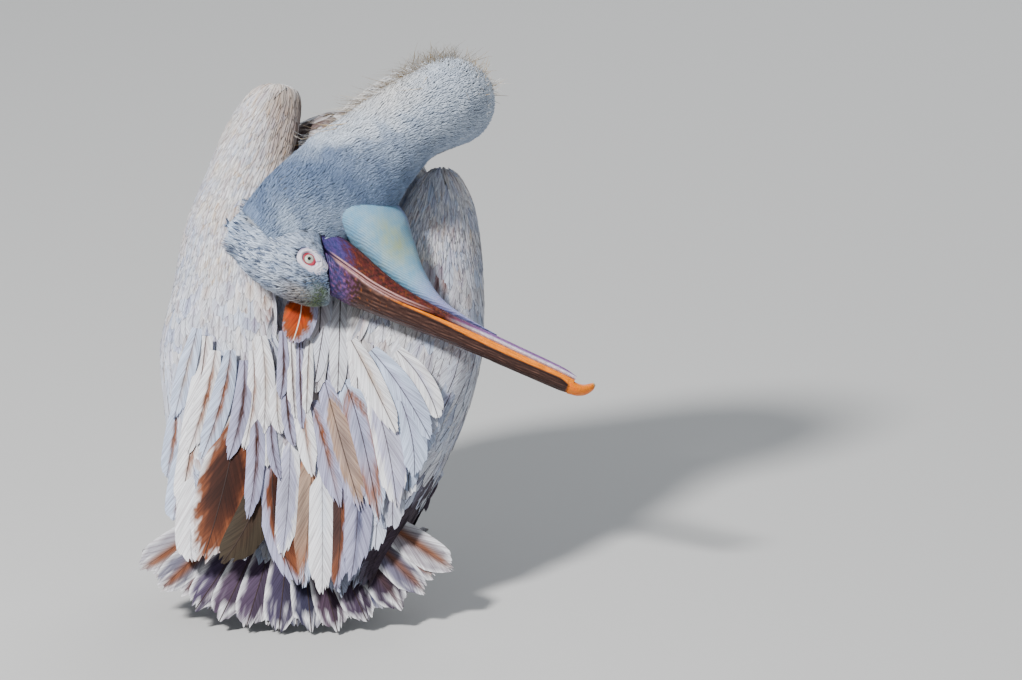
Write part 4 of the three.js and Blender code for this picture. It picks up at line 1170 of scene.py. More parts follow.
for number, (name, table) in enumerate(SHOWN.items()):
    fan = fans["tertials" if name == "tertials_shown" else "scapulars"]
    count = len(table)
    rng = np.random.default_rng(380 + number)
    controls = np.array([row[:6] for row in table], float).reshape(count, 3, 2)
    v = np.linspace(0, 1, 29)
    start, middle, tip = (controls[:, k, None] for k in range(3))
    places = (start * ((1 - v) * (1 - 2 * v))[:, None] + middle * (4 * v * (1 - v))[:, None]
              + tip * (v * (2 * v - 1))[:, None])
    halves, layers, bases, cores, strengths, shafts, places_across = zip(*(row[6:] for row in table))
    layer = np.array(layers, float)
    raised = ((4.5 + 0.65 * layer)[:, None, None] - 11 * (1 - np.clip(v / 0.35, 0, 1))[:, None]
              + 3 * (v ** 2)[:, None])
    line, normal = onto(fan, places, raised)
    half = blade(v, root=0.5, belly=0.55, tip=0.62) * np.array(halves, float)[:, None]
    base = np.array([PALETTE[title] for title in bases]) * rng.uniform(0.95, 1.04, (count, 1))
    core = np.array([PALETTE[title] for title in cores])
    strength = np.array(strengths, float)
    band = np.where(strength[:, None] > 0.8, PALETTE["rust"] * 1.1, core)
    at = np.array(places_across, float)
    shown = feathers(name, line, normal, half, centred_paint(base, core, band, strength, at),
                     in_cells(count, 4, 4), seed=390 + number, columns=20, rounding=0.16, fray=0.06,
                     camber=0.14, shaft=np.array(shafts), closed=1.0, roll=0.04)
    finish(shown, wing_vane, "brown_feathers")

# ---------------------------------------------------------------- tail
# Twenty-three stiff tail feathers spread in a fan that ends just above the floor, with black or rusty
# shafts, slate middles, white edges and worn, frayed ends; short coverts hide their roots above and below.

TAIL_LENGTH, TAIL_SPREAD, TAIL_FEATHERS = 238.0, np.radians(114), 12
TAIL_ROOT = np.array([-31.0, 41.0, 236.0])
TAIL_STUB, SIDE_GAIN = 16.0, 0.08


def tail_skin(t, a, grow=0.0):
    """
    A fan about the tail's root: turned by its share of the spread, stepping outwards from the stub to its
    reach, which grows towards the sides with the square of the distance from the middle.
    """
    turn = (a - 0.5) * TAIL_SPREAD
    outwards = TAIL_STUB + (TAIL_LENGTH * 0.985 * (1 + SIDE_GAIN * (2 * a - 1) ** 2) - TAIL_STUB) * t
    down = outwards * np.cos(turn)
    forward = TAIL_ROOT[1] * (1 - down / TAIL_ROOT[2]) + 10 * (2 * a - 1) ** 2 * t + 2 - grow
    return stand(TAIL_ROOT[0] + outwards * np.sin(turn), forward, TAIL_ROOT[2] - down)


rng = np.random.default_rng(400)
upper = np.linspace(0.03, 0.97, TAIL_FEATHERS)
lower = np.linspace(0.07, 0.93, TAIL_FEATHERS - 1)
a = np.concatenate([upper, lower])
count = len(a)
a = np.clip(a + rng.normal(0, 0.007, count), 0.02, 0.98)
is_upper = np.arange(count) < TAIL_FEATHERS
t = np.full(count, 0.02)
side_share = np.abs(2 * a - 1)
long = ((TAIL_LENGTH - 18) * (1 + SIDE_GAIN * side_share ** 2)
        * np.where(is_upper, rng.uniform(0.95, 1.0, count), 0.94))
turned_up = np.where(is_upper, 2.6, 0.6) + rng.uniform(0, 0.8, count)
line, normal = lie(tail_skin, t, a, long, way=1, rows=14, sink=np.where(is_upper, -2.5, 0.5), lift=turned_up)
v = np.linspace(0, 1, 15)
half = (6 + 17 * np.minimum(v / 0.72, 1) ** 0.8) * (1 - 0.5 * ramp(v, 0.82, 0.18) ** 2.4)
half = half * rng.uniform(0.92, 1.06, (count, 1))
middle_dark = np.clip(np.clip(1.9 - side_share * 1.8, 0, 1) * rng.uniform(0.85, 1.15, count) + 0.25, 0, 1)
rusty = ramp(side_share, 0.55, 0.2) * rng.uniform(0.6, 1, count)
slate = (PALETTE["slate"] * rng.uniform(0.45, 1.1, (count, 1))
         + PALETTE["brown"] * 0.7 * rng.uniform(0, 1, (count, 1)))


def tail_paint(across, rise):
    """White edges and tip, a slate middle on each vane, and rust beside the shaft of the outer feathers."""
    wobble = (0.07 * np.sin(rise * 60 + np.arange(count)[:, None, None] * 2.1)
              + 0.05 * np.sin(rise * 23 + across * 9))
    middle = (np.clip((0.86 - np.abs(across - 0.06) + wobble) / 0.25, 0, 1)
              * np.clip((1.0 + wobble - rise) / 0.1, 0, 1))
    share = (middle_dark[:, None, None] * middle)[..., None]
    colour = mixed(PALETTE["white"] * 0.95,
                   slate[:, None, None] * np.where(across < 0, 1.0, 1.5)[..., None], share)
    streak = (rusty[:, None, None] * hill(across, -0.1, 0.26) * ramp(rise, 1.0, -0.1))[..., None]
    return mixed(colour, PALETTE["rust"], streak)


tail = feathers("tail_feathers", line, normal, half, tail_paint, in_cells(count, 5, 5), seed=401,
                columns=18, rounding=0.09, fray=0.05, camber=0.05,
                shaft=np.where(side_share < 0.6, 1.0, 0.35), closed=1.4, roll=0.05)
finish(tail, wing_vane, "tail_feathers", "tail")
for title, height in (("upper", 1), ("under", -1)):
    def side_of_tail(t, a, grow=0.0, height=height):
        """The tail's fan, or its underside when height is -1, where outwards is forwards."""
        return tail_skin(t, a, height * (np.asarray(grow) + 4 - 2 * np.asarray(t)))
    wing_coat(side_of_tail, title, "tail_coverts", "tail_feathers", (), gap=9, between=10, start=0.0,
              end=0.42, length=44, half=8, lift=3, seed=420 + height, colours=wing_white, stain=0.4,
              shaft=0.3, rows=4, columns=4, tip=0.55, first=0.04, last=0.96)

# ---------------------------------------------------------------- bill
# Upper and lower mandibles of horn over bone. The upper is a long flat blade, streaked dark brown, with a
# smooth orange cutting edge; the lower is two side bars, wrinkled and violet at the base, red-brown along
# the middle and violet with a white rim towards the tip. A pale double ridge marks the gape.

# Sections: forward, height of ridge, of cutting edge and of under side, half width.
BILL = [
    [-11, 39, 0, -37, 29], [30, 41, 7, -30, 25], [64, 39, 12, -17, 22], [105, 36, 13, -8, 19],
    [160, 31, 9, -4, 17], [218, 27, 6.5, -4, 17], [277, 24.5, 6, -4, 18], [330, 22, 5.5, -4, 18.5],
    [352, 20, 5, -1, 15],
]
BILL_GAP = 0.35
HORN_UMBER, HORN_STREAK, HORN_VIOLET, HORN_BLUE = linear("301c18", "7f5a4c", "54407e", "2f3564")
HORN_RED, HORN_SPECK, HORN_ORANGE = linear("5c2724", "ae5f20", "f08200")
HORN_PINK, HORN_WHITE, HORN_MAGENTA = linear("e0b0ac", "e4def0", "7d5590")


def slant_at(forward):
    """How far a section of the bill leans forward per mm of height: most at the base, none from 64 mm on."""
    return 0.75 * np.maximum(0, 1 - np.maximum(forward, 0) / 64)


def bill_wrinkles(forward, girth, size, seed):
    """Fine unevenness of the horn, drawn out along the bill: plane waves ten times longer than high."""
    rng = np.random.default_rng(seed)
    total = 0 * forward
    for _ in range(7):
        length, turn = size * rng.uniform(0.6, 1.8), rng.uniform(0, 2 * np.pi)
        wander = 2.0 * np.sin(forward / (14 * length) + turn)
        total = total + np.sin((girth + 0.09 * forward * rng.uniform(-1, 1)) * 2 * np.pi / length
                               + wander + turn)
    return total / 4


def upper_bill(t, a):
    """Squarish ovals from the cutting edge to the ridge, with a keel along the ridge and worn streaks."""
    forward, ridge, edge, _, half = np.moveaxis(along(BILL, t), -1, 0)
    left, rise = oval(a, half, 1, 2.4)
    girth = a * 13
    above = (ridge - edge - 2) * rise
    up = edge + np.where(rise > 0, 2 + above, BILL_GAP + (2 - BILL_GAP) * (1 + rise))
    band = ramp(forward, 60, 60) * hill(up - edge, 4, 4.5)
    rough = bill_wrinkles(forward, girth, size=3.2, seed=501) * 0.32 * np.clip(rise, 0, 1) * (1 - 0.8 * band)
    groove = -0.9 * hill(up - edge, 9.5, 1.4) * ramp(forward, 20, 50)
    puckers = 0.35 * np.sin(forward * 2 * np.pi / 3.4 + 2 * np.sin(girth / 5)) * np.exp(-forward / 22)
    swell = 1 + (rough + groove + puckers + 0.35 * band) / half
    return forward, left * swell, up + (rough + 0.5 * puckers) * np.clip(rise, 0, 1)


def lower_bill(t, a):
    """Squarish ovals between the cutting edge and the under side, puckered at the base."""
    forward, _, edge, under, half = np.moveaxis(along(BILL, t), -1, 0)
    left, rise = oval(a, half - 1.2, 1, 3)
    middle = (edge + under) / 2
    up = middle + rise * (edge - under) / 2
    girth = a * 12
    rough = bill_wrinkles(forward, girth, size=4.0, seed=502) * 0.3
    folds = (np.sin((forward + 0.5 * up) * 2 * np.pi / 2.9 + 1.5 * np.sin(up / 4)) * 0.42
             * hill(forward, 4, 17))
    lip = 0.9 * hill(edge - up, 2.2, 1.1) + 0.7 * hill(edge - up, 5.2, 1.0)
    lip = lip * np.clip((130 - forward) / 60, 0.25, 1)
    return forward, left * (1 + (rough + folds + lip) / half), up


def bill_grid(shape, rows, sides):
    """A bill shape on an even grid: its points, and its forward, height, row and turn for the colours."""
    t, a = shares_and_turns(rows, sides)
    forward, left, up = shape(t, a)
    return of_head(forward + slant_at(forward) * up, left, up), forward, left, up, t, a


def mix(first, second, share):
    """Two colours, or arrays of them, blended by an array of shares."""
    share = np.clip(share, 0, 1)[..., None]
    return first * (1 - share) + second * share


def horn_material(name, roughness, streaks, cells, coat=0.1):
    """Horn: its paint broken up by streaks along the bill and by a fine grain that also pits it."""
    material, tree, shader = new_material(name, roughness, Coat_Weight=coat, Coat_Roughness=0.25,
                                          Specular_IOR_Level=0.2)
    place = wire(tree, "ShaderNodeUVMap", {}, uv_map="girth")
    drawn = wire(tree, "ShaderNodeMapping", {"Vector": place, "Scale": (90, 900, 1)})
    streak = grain(tree, drawn, scale=1.0, detail=5, roughness=0.6)
    fine = grain(tree, place_of(tree), scale=cells, detail=5, roughness=0.65)
    tone = fade(tree, streak, 0.3, 0.7, 1 - streaks, 1 + streaks)
    grit = fade(tree, fine, 0.3, 0.7, 0.82, 1.18)
    both = reckon(tree, "MULTIPLY", tone, grit)
    tint(tree, shader, shaded(tree, paint_of(tree), both))
    bump(tree, shader, reckon(tree, "ADD", streak, reckon(tree, "MULTIPLY", fine, 0.6)),
         distance=0.0007, strength=0.8)
    return material


def girth_map(t, a, length, girth):
    """A UV map in metres: along the piece and round it."""
    return np.stack([t * length * 0.001, np.abs(a - np.pi) * girth * 0.001], axis=-1).reshape(-1, 2)


grid, forward, left, up, t, a = bill_grid(upper_bill, 320, 112)
edge = along(BILL, t)[..., 2]
over_edge = up - edge
speckle = bill_wrinkles(forward, a * 13, size=2.4, seed=503)
mottle = ripple(grid, 9, 504) + 0.6 * ripple(grid, 4, 505)
colour = mix(HORN_UMBER, HORN_STREAK,
             0.1 + 0.55 * np.clip(speckle, -0.3, 1) * np.clip(0.6 + 0.5 * ripple(grid, 16, 506), 0.1, 1))
colour = mix(colour, HORN_VIOLET, ramp(forward, 34, -26, 0.8) * (0.6 + 0.35 * mottle))
colour = mix(colour, HORN_BLUE, ramp(forward, 20, -18, 0.8))
pinkish = np.clip(ripple(grid, 5, 507) + 0.6 * speckle, 0, 1) * ramp(forward, 50, -20)
colour = mix(colour, HORN_MAGENTA * [1.3, 1.0, 1.0], 0.45 * pinkish)
colour = mix(colour, HORN_UMBER, 0.7 * np.clip(ripple(grid, 6, 508) - 0.1, 0, 1) * ramp(forward, 56, -20))
colour = mix(colour, HORN_SPECK, np.clip(mottle - 0.9, 0, 1) * 0.6 * ramp(forward, 110, -50))
orange_top = 4.6 + 4.2 * ramp(forward, 80, 120) + 1.1 * np.sin(forward / 31)
orange_top = orange_top + 3 * ramp(forward, 335, 15)
in_band = np.clip((orange_top - over_edge) / 1.2, 0, 1) * np.clip((forward - 80 - 8 * mottle) / 45, 0, 1)
shadow_line = hill(over_edge - orange_top, 1.6, 1.5) * ramp(forward, 90, 60, 0.8)
colour = mix(colour, HORN_UMBER * 0.45, shadow_line)
colour = mix(colour, HORN_ORANGE, in_band)
pale = hill(over_edge, 1.5, 2.0) * ramp(forward, 105, -30) * ramp(forward, -2, 10)
colour = mix(colour, HORN_PINK, 0.85 * pale)
colour = mix(colour, HORN_ORANGE, ramp(forward, 346, 5))
uvs = {"girth": girth_map(t, a, 350, 13)}
bill_upper = tubes("bill_upper_horn", [grid], uvs, {"paint": colour.reshape(-1, 3)})
finish(bill_upper, horn_material("upper_horn", roughness=0.42, streaks=0.3, cells=700),
       "upper_bill", "bill_upper")

grid, forward, left, up, t, a = bill_grid(lower_bill, 320, 96)
edge, under = along(BILL, t)[..., 2], along(BILL, t)[..., 3]
below = edge - up
mottle = ripple(grid, 8, 511) + 0.7 * ripple(grid, 3.5, 512)
speckle = bill_wrinkles(forward, a * 12, size=3.0, seed=513)
colour = mix(HORN_RED, HORN_UMBER, 0.4 + 0.45 * mottle)
colour = mix(colour, HORN_SPECK, 0.35 * np.clip(ripple(grid, 4, 514) + 0.6 * speckle - 0.35, 0, 1)
             * ramp(forward, 12, 30) * ramp(forward, 230, -70))
bluish = np.clip((38 + 5 * mottle - forward - 0.3 * below) / 20, 0, 1)
colour = mix(colour, mix(HORN_BLUE, HORN_VIOLET, 0.4 + 0.4 * mottle), bluish)
to_tip = ramp(forward, 165, 60)
strip = mix(HORN_WHITE, HORN_MAGENTA, ramp(below, 3.0, 2.4))
strip = mix(strip, HORN_VIOLET * 1.1, ramp(below, 7.5, 2))
colour = mix(colour, strip, to_tip * (0.9 + 0.1 * mottle))
between_bars = ramp(-np.sin(a), 0.8, 0.1) * ramp(forward, 90, 60)
under_skin = mix(HORN_WHITE * [0.62, 0.62, 0.72], HORN_VIOLET, 0.3 + 0.3 * mottle)
colour = mix(colour, under_skin, between_bars)
ridges = hill(below, 2.2, 0.9) + hill(below, 5.2, 0.8)
ridges = ridges * ramp(forward, 150, -50) * ramp(forward, -4, 12)
colour = mix(colour, HORN_PINK * 1.1, 0.9 * ridges)
# Painted shade darkening the groove between the two ridges.
between = hill(below, 3.7, 0.6) * ramp(forward, 130, -50)
colour = mix(colour, HORN_UMBER * 0.5, 0.7 * between)
uvs = {"girth": girth_map(t, a, 350, 12)}
bill_lower = tubes("bill_lower_horn", [grid], uvs, {"paint": colour.reshape(-1, 3)})
finish(bill_lower, horn_material("lower_horn", roughness=0.45, streaks=0.25, cells=620),
       "lower_bill", "bill_lower")

# The nail: a smooth hooked tip of orange horn, greenish where it is worn thin.
NAIL = [
    [350, 12.5, 15.5, 8.8], [353.4, 12.5, 15, 8.5], [361, 11.5, 13.5, 8], [369, 7.5, 11, 7],
    [375, 0.5, 7.5, 5], [377, -5, 3, 2.5],
]


def nail_skin(t, a):
    """Ovals of the nail's table, tipping forwards as the hook turns down."""
    forward, middle, half, height = np.moveaxis(along(NAIL, t), -1, 0)
    left, up = oval(a, half, height)
    ridges = 1 + 0.02 * np.sin(a * 22) * np.sin(np.pi * t)
    return of_head(forward + up * 0.9 * t, left * ridges, middle + up * (1 - 0.45 * t) * ridges)


t, a = shares_and_turns(48, 56)
grid = nail_skin(t, a)
colour = mix(HORN_ORANGE, HORN_ORANGE * [1.0, 0.7, 0.6], 0.4 + 0.4 * ripple(grid, 7, 521))
colour = mix(colour, linear("c8c9a0")[0], ramp(t, 0.86, 0.12))
# A painted highlight: a small pale spot on the nail.
colour = mix(colour, HORN_WHITE, np.exp(-(((t - 0.42) / 0.1) ** 2) - ((a - 4.4) / 0.5) ** 2) * 0.7)
uvs = {"girth": girth_map(t, a, 27, 10)}
nail = tubes("bill_nail_horn", [grid], uvs, {"paint": colour.reshape(-1, 3)})
finish(nail, horn_material("nail_horn", roughness=0.32, streaks=0.12, cells=500, coat=0.15),
       "nail", "bill_nail")

# ---------------------------------------------------------------- pouch
# A bag of thin bare skin slung between the bars of the lower mandible and the throat. It is folded away
# here, with fine close creases along it; pale blue-green, yellower on its lower swell, lilac at its edge.

# Sections: forward, height of the attachment, height of the hanging fold, half width at the attachment.
POUCH = [
    [-14, -38, -66, 42], [6, -36, -95, 48], [34, -28, -111, 46], [58, -20, -104, 36], [84, -13, -76, 24],
    [114, -8, -44, 16], [150, -5, -20, 13.5], [190, -5, -10.5, 12], [236, -5, -6.5, 9],
]
POUCH_BLUE, POUCH_YELLOW, POUCH_LILAC = linear("70a6c6", "a5b78c", "988cc4")
POUCH_DARK, POUCH_PALE = linear("3f4b7c", "98b8ce")


def pouch_skin(t, a, grow=0.0):
    """A wedge from the attachment down to the fold, widest at the top, with shallow slack hollows."""
    forward, top, fold, half = np.moveaxis(along(POUCH, t), -1, 0)
    left, rise = oval(a, 1, 1, 2.2)
    share = (1 + rise) / 2
    slack = 0.6 * np.sin(forward / 9 + 5 * share) * np.sin(np.pi * share) * np.sin(np.pi * t)
    up = fold + (top - fold) * share
    side = left * (half * (0.8 + 0.2 * share) + slack + grow)
    return of_head(forward + 0.3 * slant_at(forward) * up, side, up)


t, a = shares_and_turns(240, 240)
forward, top, fold, half = np.moveaxis(along(POUCH, t), -1, 0)
grid = pouch_skin(t, a)
share = (1 + oval(a, 1, 1, 2.2)[1]) / 2
hang = (top - fold) * (1 - share)
mottle = ripple(grid, 22, 531) + 0.5 * ripple(grid, 7, 532)
colour = mix(POUCH_BLUE, POUCH_PALE, 0.3 + 0.3 * mottle)
swell = np.exp(-(((forward - 66) / 26) ** 2) - ((hang - 34) / 22) ** 2)
colour = mix(colour, POUCH_YELLOW, swell * (0.75 + 0.25 * mottle))
colour = mix(colour, POUCH_LILAC, ramp(forward, 105, 60, 0.75))
colour = mix(colour, POUCH_LILAC * 0.9, ramp(share, 0.14, -0.14, 0.65) * ramp(forward, 90, -40))
colour = mix(colour, POUCH_DARK, ramp(forward, -4, -8, 0.9))
colour = mix(colour, POUCH_DARK, ramp(share, 0.035, -0.02, 0.8) * ramp(forward, 80, -30))
pouch = tubes("pouch_skin", [grid], None,
              {"paint": colour.reshape(-1, 3), "hang": hang.ravel() * 0.001,
               "reach": forward.ravel() * 0.001})
bare, tree, shader = new_material("pouch_bare_skin", 0.48, Coat_Weight=0.12, Coat_Roughness=0.4)
shader.inputs["Subsurface Weight"].default_value = 0.12
shader.inputs["Subsurface Radius"].default_value = (0.004, 0.002, 0.0015)
wander = grain(tree, place_of(tree), scale=60, detail=3)
crease_phase = reckon(tree, "ADD", reckon(tree, "MULTIPLY", value_of(tree, "hang"), 2 * np.pi / 0.0026),
                      reckon(tree, "MULTIPLY", wander, 9.0))
crease = reckon(tree, "SINE", reckon(tree, "SUBTRACT", crease_phase,
                                     reckon(tree, "MULTIPLY", value_of(tree, "reach"), 420.0)))
broken = grain(tree, place_of(tree), scale=760, detail=3)
# Painted shade: the colour darkened in the creases' hollows.
line = reckon(tree, "MULTIPLY", fade(tree, crease, -0.2, -0.95, 0.0, 1.0),
              fade(tree, broken, 0.35, 0.55, 0.2, 1.0))
paint = paint_of(tree)
crease_shaded = blend(tree, reckon(tree, "MULTIPLY", line, 0.45), paint, (0.11, 0.14, 0.2, 1))
tint(tree, shader, blend(tree, fade(tree, broken, 0.55, 0.75, 0.0, 0.25), crease_shaded, (0.8, 0.83, 0.83, 1)))
bump(tree, shader, reckon(tree, "ADD", reckon(tree, "MULTIPLY", crease, 0.35), broken),
     distance=0.0006, strength=0.8)
finish(pouch, bare, "pouch_skin", "pouch")

# ---------------------------------------------------------------- eyes
# A small round eye with a pale iris sits in a bare white patch of wrinkled skin that reaches the bill's
# base; the lids' rim is crimson, widest at the two corners.

IRIS_PALE, IRIS_GREEN, IRIS_RIM, PUPIL = linear("c9c6b4", "8fa39a", "5b5650", "050506")
LID_RED, PATCH_WHITE, PATCH_LILAC = linear("a32340", "e9e6ee", "b7adc6")
LID_ANGLE, LID_CORNER, EYE_SLANT = 0.82, 0.24, 0.35


def head_side(forward, up):
    """The half width of the skull at a point of its side, from the section that passes through it."""
    sections = along(HEAD, np.linspace(0, 1, 400))
    flat_f, flat_u = np.ravel(forward), np.ravel(up)
    miss = sections[:, 0] + sections[:, 4] * (flat_u[:, None] - sections[:, 1]) - flat_f[:, None]
    _, middle, half, height, _ = sections[np.abs(miss).argmin(axis=1)].T
    power = HEAD_SQUARENESS
    wide = half * np.maximum(1 - np.abs((flat_u - middle) / height) ** power, 0.02) ** (1 / power)
    return wide.reshape(np.shape(forward))


def on_side(forward, left, up, side):
    """A point of the left face, or of the right one when side is -1."""
    return of_head(forward, side * left, up)


def ring_quads(count, wide, closed):
    """Quads of a grid of count by wide points, closed along its first way, and its second if closed."""
    ring, belt = np.meshgrid(np.arange(count), np.arange(wide if closed else wide - 1), indexing="ij")
    corners = [((ring + i) % count) * wide + (belt + k) % wide for i, k in ((0, 0), (1, 0), (1, 1), (0, 1))]
    return np.stack(corners, axis=-1).reshape(-1, 4)


eye_material, tree, shader = new_material("eyeball", 0.12, Coat_Weight=1.0, Coat_Roughness=0.03)
paint = paint_of(tree)
fibres = grain(tree, place_of(tree), scale=2600, detail=4)
tint(tree, shader, blend(tree, fade(tree, fibres, 0.45, 0.7, 0.0, 0.22), paint, (0.16, 0.15, 0.13, 1)))
lid_material, tree, shader = new_material("lid_rim", 0.38, Coat_Weight=0.5, Coat_Roughness=0.15)
wet = grain(tree, place_of(tree), scale=900, detail=3)
tint(tree, shader, blend(tree, wet, (0.34, 0.008, 0.03, 1), (0.5, 0.03, 0.07, 1)))
bump(tree, shader, wet, distance=0.0004)
patch_material, tree, shader = new_material("orbital_skin", 0.55, Coat_Weight=0.1)
paint = paint_of(tree)
pores = grain(tree, place_of(tree), scale=1400, detail=4)
tint(tree, shader, blend(tree, fade(tree, pores, 0.5, 0.75, 0.0, 0.35), paint, (0.45, 0.40, 0.52, 1)))
bump(tree, shader, pores, distance=0.0004)

for side, title in ((1, "left"), (-1, "right")):
    # The ball: rings of growing angle from the gaze, bulged a little over the iris.
    polar, turn = np.meshgrid(np.linspace(0.004, np.pi - 0.004, 90),
                              2 * np.pi * np.arange(72) / 72, indexing="ij")
    bulge = EYE_RADIUS * (0.985 + 0.035 * np.exp(-(polar / 0.62) ** 4))
    f, u = EYE_AT[0] + bulge * np.sin(polar) * np.cos(turn), EYE_AT[2] + bulge * np.sin(polar) * np.sin(turn)
    grid = on_side(f, EYE_AT[1] + bulge * np.cos(polar), u, side)
    rays = 0.5 + 0.5 * np.sin(turn * 31 + 3 * np.sin(turn * 7))
    colour = mix(IRIS_PALE, IRIS_GREEN, hill(polar, 0.32, 0.09) * 0.9 + 0.12 * rays)
    colour = mix(colour, IRIS_RIM * 0.6, ramp(polar, 0.62, 0.08))
    colour = mix(colour, PUPIL, ramp(polar, 0.245, -0.025))
    colour = mix(colour, LID_RED * 0.7, ramp(polar, 0.8, 0.08))
    ball = tubes(f"eyeball_{title}", [grid], None, {"paint": colour.reshape(-1, 3)})
    finish(ball, eye_material, "eye", f"eye_{title}")

    # The lids' rim: a rope round the iris, thicker at the corners of an oval opening.
    turn, round_rope = np.meshgrid(2 * np.pi * np.arange(96) / 96,
                                   2 * np.pi * np.arange(14) / 14, indexing="ij")
    corner = np.cos(turn - EYE_SLANT) ** 2
    rim = LID_ANGLE + LID_CORNER * corner ** 2
    thick = 0.7 + 3.4 * corner ** 2
    out = EYE_RADIUS * 1.01 + thick * 0.55 * np.sin(round_rope)
    angle = rim + thick * 0.85 * np.cos(round_rope) / EYE_RADIUS
    f, u = EYE_AT[0] + out * np.sin(angle) * np.cos(turn), EYE_AT[2] + out * np.sin(angle) * np.sin(turn)
    grid = on_side(f, EYE_AT[1] + out * np.cos(angle), u, side)
    quads = ring_quads(96, 14, True)
    points = grid.reshape(-1, 3)
    quads = quads if volume_sign(points, quads) > 0 else quads[:, ::-1]
    rim_piece = mesh_piece(f"eyelid_rim_{title}", points, [quads])
    finish(rim_piece, lid_material, "eye")

    # The bare patch: from the lids' rim out to an oval that blends into the face, in fine round wrinkles.
    turn, share = np.meshgrid(2 * np.pi * np.arange(144) / 144, np.linspace(0, 1, 44), indexing="ij")
    corner = np.cos(turn - EYE_SLANT) ** 2
    inner = EYE_RADIUS * np.sin(LID_ANGLE + LID_CORNER * corner ** 2) + 0.3
    outer_f = EYE_PATCH[0] + (EYE_PATCH[2] + 2.5) * np.cos(turn) * (1 + 0.1 * np.cos(turn))
    outer_u = (EYE_PATCH[1] + (EYE_PATCH[3] + 2.5) * np.sin(turn)
               * (1 + 0.16 * np.cos(turn) * np.sin(turn) + 0.06 * np.sin(3 * turn)))
    inner_f, inner_u = EYE_AT[0] + inner * np.cos(turn), EYE_AT[2] + inner * np.sin(turn)
    f, u = inner_f + (outer_f - inner_f) * share, inner_u + (outer_u - inner_u) * share
    f = np.minimum(f, 1.5 + 0.7 * u)
    face = head_side(f, u) - 2.2 * share ** 2
    socket = EYE_AT[1] + EYE_RADIUS * np.cos(LID_ANGLE + LID_CORNER * corner ** 2) - 0.4
    blending = np.clip(share / 0.3, 0, 1) ** 0.8
    folded = np.sin(share * 26 + 2.2 * np.sin(turn * 3 + 1) + 1.4 * np.sin(turn * 8 + share * 9))
    wrinkle = 0.3 * folded * np.sin(np.pi * share) + 0.9 * hill(share, 0.5, 0.12) * np.cos(turn) ** 4
    grid = on_side(f, socket * (1 - blending) + (face + 0.9) * blending + wrinkle, u, side)
    # Lilac near the lids, and lilac in the wrinkles' hollows as painted shade.
    pinkish = hill(share, 0.1, 0.12) * 0.5 + 0.3 * np.clip(-folded, 0, 1)
    upper_edge = np.clip(-np.sin(turn + 0.3), 0, 1)
    rim_shade = np.clip((share - 0.55 + 0.1 * folded) / 0.35, 0, 1) * (0.25 + 0.8 * upper_edge)
    colour = mix(mix(PATCH_WHITE, PATCH_LILAC, 1.2 * pinkish), PATCH_LILAC * [0.35, 0.3, 0.55], rim_shade)
    # A short dark violet line to the right of the eye: painted shade in a fold of the skin.
    apart = np.hypot((f + 13) * 0.6 + (u - 20) * 0.8,
                     np.maximum(np.abs((f + 13) * 0.8 - (u - 20) * 0.6) - 4, 0))
    colour = mix(colour, PATCH_LILAC * [0.2, 0.16, 0.35], 0.85 * hill(apart, 0, 0.9))
    quads = ring_quads(144, 44, False)
    quads = quads[:, ::-1] if side > 0 else quads
    patch = mesh_piece(f"eye_patch_{title}", grid.reshape(-1, 3), [quads], None,
                       {"paint": colour.reshape(-1, 3)})
    finish(patch, patch_material, "neck_plush")

# ---------------------------------------------------------------- legs and feet
# Bare scaly shanks and big feet with all four toes joined by webs, of tough grey skin, flat on the floor;
# each toe ends in a short dark claw.

SHANK = [
    [0, -14, 117.6, 7, 8], [0, -14, 110, 9, 11], [0, -11, 98, 6.5, 9], [0, -4, 60, 5.5, 8],
    [0, 3, 30, 6.5, 9],
    [0, 6, 15.5, 9, 11],
]
FOOT_Y, TOE_OUT, CLAW_LENGTH, TOE_RADIUS, HUB_HEIGHT = 6.0, 10.0, 11.0, 6.0, 15.0
TOES = [["outer", 21, 116], ["middle", -1, 124], ["inner", -25, 92], ["hind", -112, 46]]


def of_foot(side, degrees, reach, aside, height):
    """A point of a foot: reach along a heading, aside to its outer hand, at a height above the floor."""
    turn = np.radians(TOE_OUT + degrees)
    x, y = reach * np.sin(turn) + aside * np.cos(turn), reach * np.cos(turn) - aside * np.sin(turn)
    parts = (side * (STANCE + x), FOOT_Y + y, np.maximum(height, 0.0))
    return np.stack(np.broadcast_arrays(*parts), axis=-1)


def toe(side, degrees, start, end, radii, knuckles, t, a):
    """A rod along its heading with a flat sole; its radius tapers and swells at each joint."""
    reach = start + (end - start) * t
    here = (radii[0] + (radii[1] - radii[0]) * t) * (1 + 0.14 * np.abs(np.cos(np.pi * knuckles * t)) ** 3)
    scutes = 1 + 0.035 * np.abs(np.sin(np.pi * reach / 3.4)) * np.clip(np.sin(a), 0, 1)
    aside, up = oval(a, here, here * 0.95)
    return of_foot(side, degrees, reach, aside, here * 0.75 + up * scutes)


def web(side, first, second, bay, count=30):
    """
    Skin between two toes: points between their middle lines, pulled back in a bay between the tips, with
    an upper side that sags and ripples and an under side on the floor, as rings that close round the edge.
    """
    s = np.concatenate([np.linspace(0, 1, count), np.linspace(1, 0, count)])
    t = np.linspace(0.02, 1, 36)[:, None]
    ends = [of_foot(side, degrees, length - 6, 0, 0) for _, degrees, length in (first, second)]
    heel = of_foot(side, 0, 0, 0, 0)
    edge = ends[0] + (ends[1] - ends[0]) * s[:, None]
    edge = edge + (heel - edge) * (bay * 4 * s * (1 - s))[:, None] * 0.9
    flat = heel + (edge - heel) * t[..., None]
    ripples = 0.35 * np.sin(s * 21 + 4 * t) * np.sin(np.pi * s) + 1.4 * (2 * s - 1) ** 4
    top = 2.5 - 0.7 * t + ripples
    height = np.where(np.arange(2 * count) < count, top, 0.25)
    return np.concatenate([flat[..., :2], height[..., None]], axis=-1)


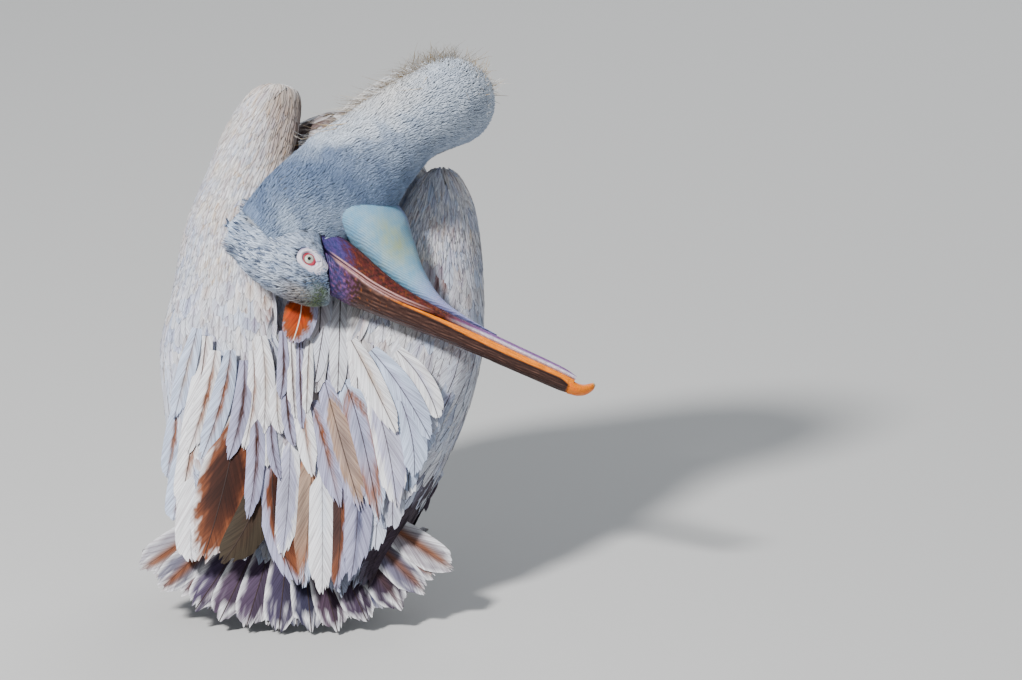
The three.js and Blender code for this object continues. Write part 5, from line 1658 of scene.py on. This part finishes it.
foot_skin, tree, shader = new_material("foot_skin", 0.5, Coat_Weight=0.1)
cells = wire(tree, "ShaderNodeTexVoronoi", {"Vector": place_of(tree), "Scale": 420.0}, 0,
             feature="DISTANCE_TO_EDGE")
tint_noise = grain(tree, place_of(tree), scale=120, detail=5)
scale_line = fade(tree, cells, 0.0, 0.12, 1.0, 0.0)
foot_grey, foot_dark, foot_pale, foot_seam, claw_pale = (
    (*c, 1) for c in linear("8f8d96", "6c6870", "b5aea6", "3c383b", "6f6a66"))
skin_tone = blend(tree, fade(tree, tint_noise, 0.35, 0.65, 0.0, 1.0), foot_grey, foot_dark)
skin_tone = blend(tree, fade(tree, tint_noise, 0.6, 0.75, 0.0, 0.6), skin_tone, foot_pale)
tint(tree, shader, blend(tree, reckon(tree, "MULTIPLY", scale_line, 0.65), skin_tone, foot_seam))
bump(tree, shader, fade(tree, cells, 0.0, 0.25, 0.0, 1.0), distance=0.0006, strength=0.9)
claw_horn, tree, shader = new_material("claw_horn", 0.35, Coat_Weight=0.3)
claw_grain = grain(tree, place_of(tree), scale=420, detail=5)
tint(tree, shader, blend(tree, claw_grain, foot_seam, claw_pale))
bump(tree, shader, claw_grain, distance=0.0004)

for side, title in ((-1, "left"), (1, "right")):
    t, a = shares_and_turns(90, 36)
    out, y, z, half, depth = np.moveaxis(along(SHANK, t), -1, 0)
    across, ahead = oval(a, half, depth)
    scutes = 1 + 0.05 * np.abs(np.sin(np.pi * z / 4.2)) * np.clip(np.sin(a), 0, 1)
    shank_grid = np.stack([side * (STANCE + out) + across * scutes, y + ahead * scutes, z], axis=-1)
    shank = tubes(f"shank_skin_{title}", [shank_grid])
    finish(shank, foot_skin, "foot_skin", f"shank_{title}")
    t, a = shares_and_turns(60, 24)
    parts = [toe(side, degrees, 0, length, [TOE_RADIUS, 4], length / 32, t, a) for _, degrees, length in TOES]
    parts += [web(side, TOES[k], TOES[k + 1], bay) for k, bay in ((0, 0.14), (1, 0.16), (2, 0.3))]
    aside, reach = oval(a, 11.5 - 3 * t, 13.5 - 3 * t)
    parts.append(of_foot(side, 0, reach, aside, (HUB_HEIGHT + 2) * t))
    foot = tubes(f"foot_web_{title}", parts)
    finish(foot, foot_skin, "foot_skin", f"foot_{title}")
    names = [f"claw_{title}_{name}" for name, _, _ in TOES]
    claws = [toe(side, degrees, length - 3, length + CLAW_LENGTH, [3.6, 0.8], 0, t ** 0.8, a) for _,
             degrees, length in TOES]
    claw_piece = tubes(f"claws_{title}", claws)
    finish(claw_piece, claw_horn, "claw", *names)
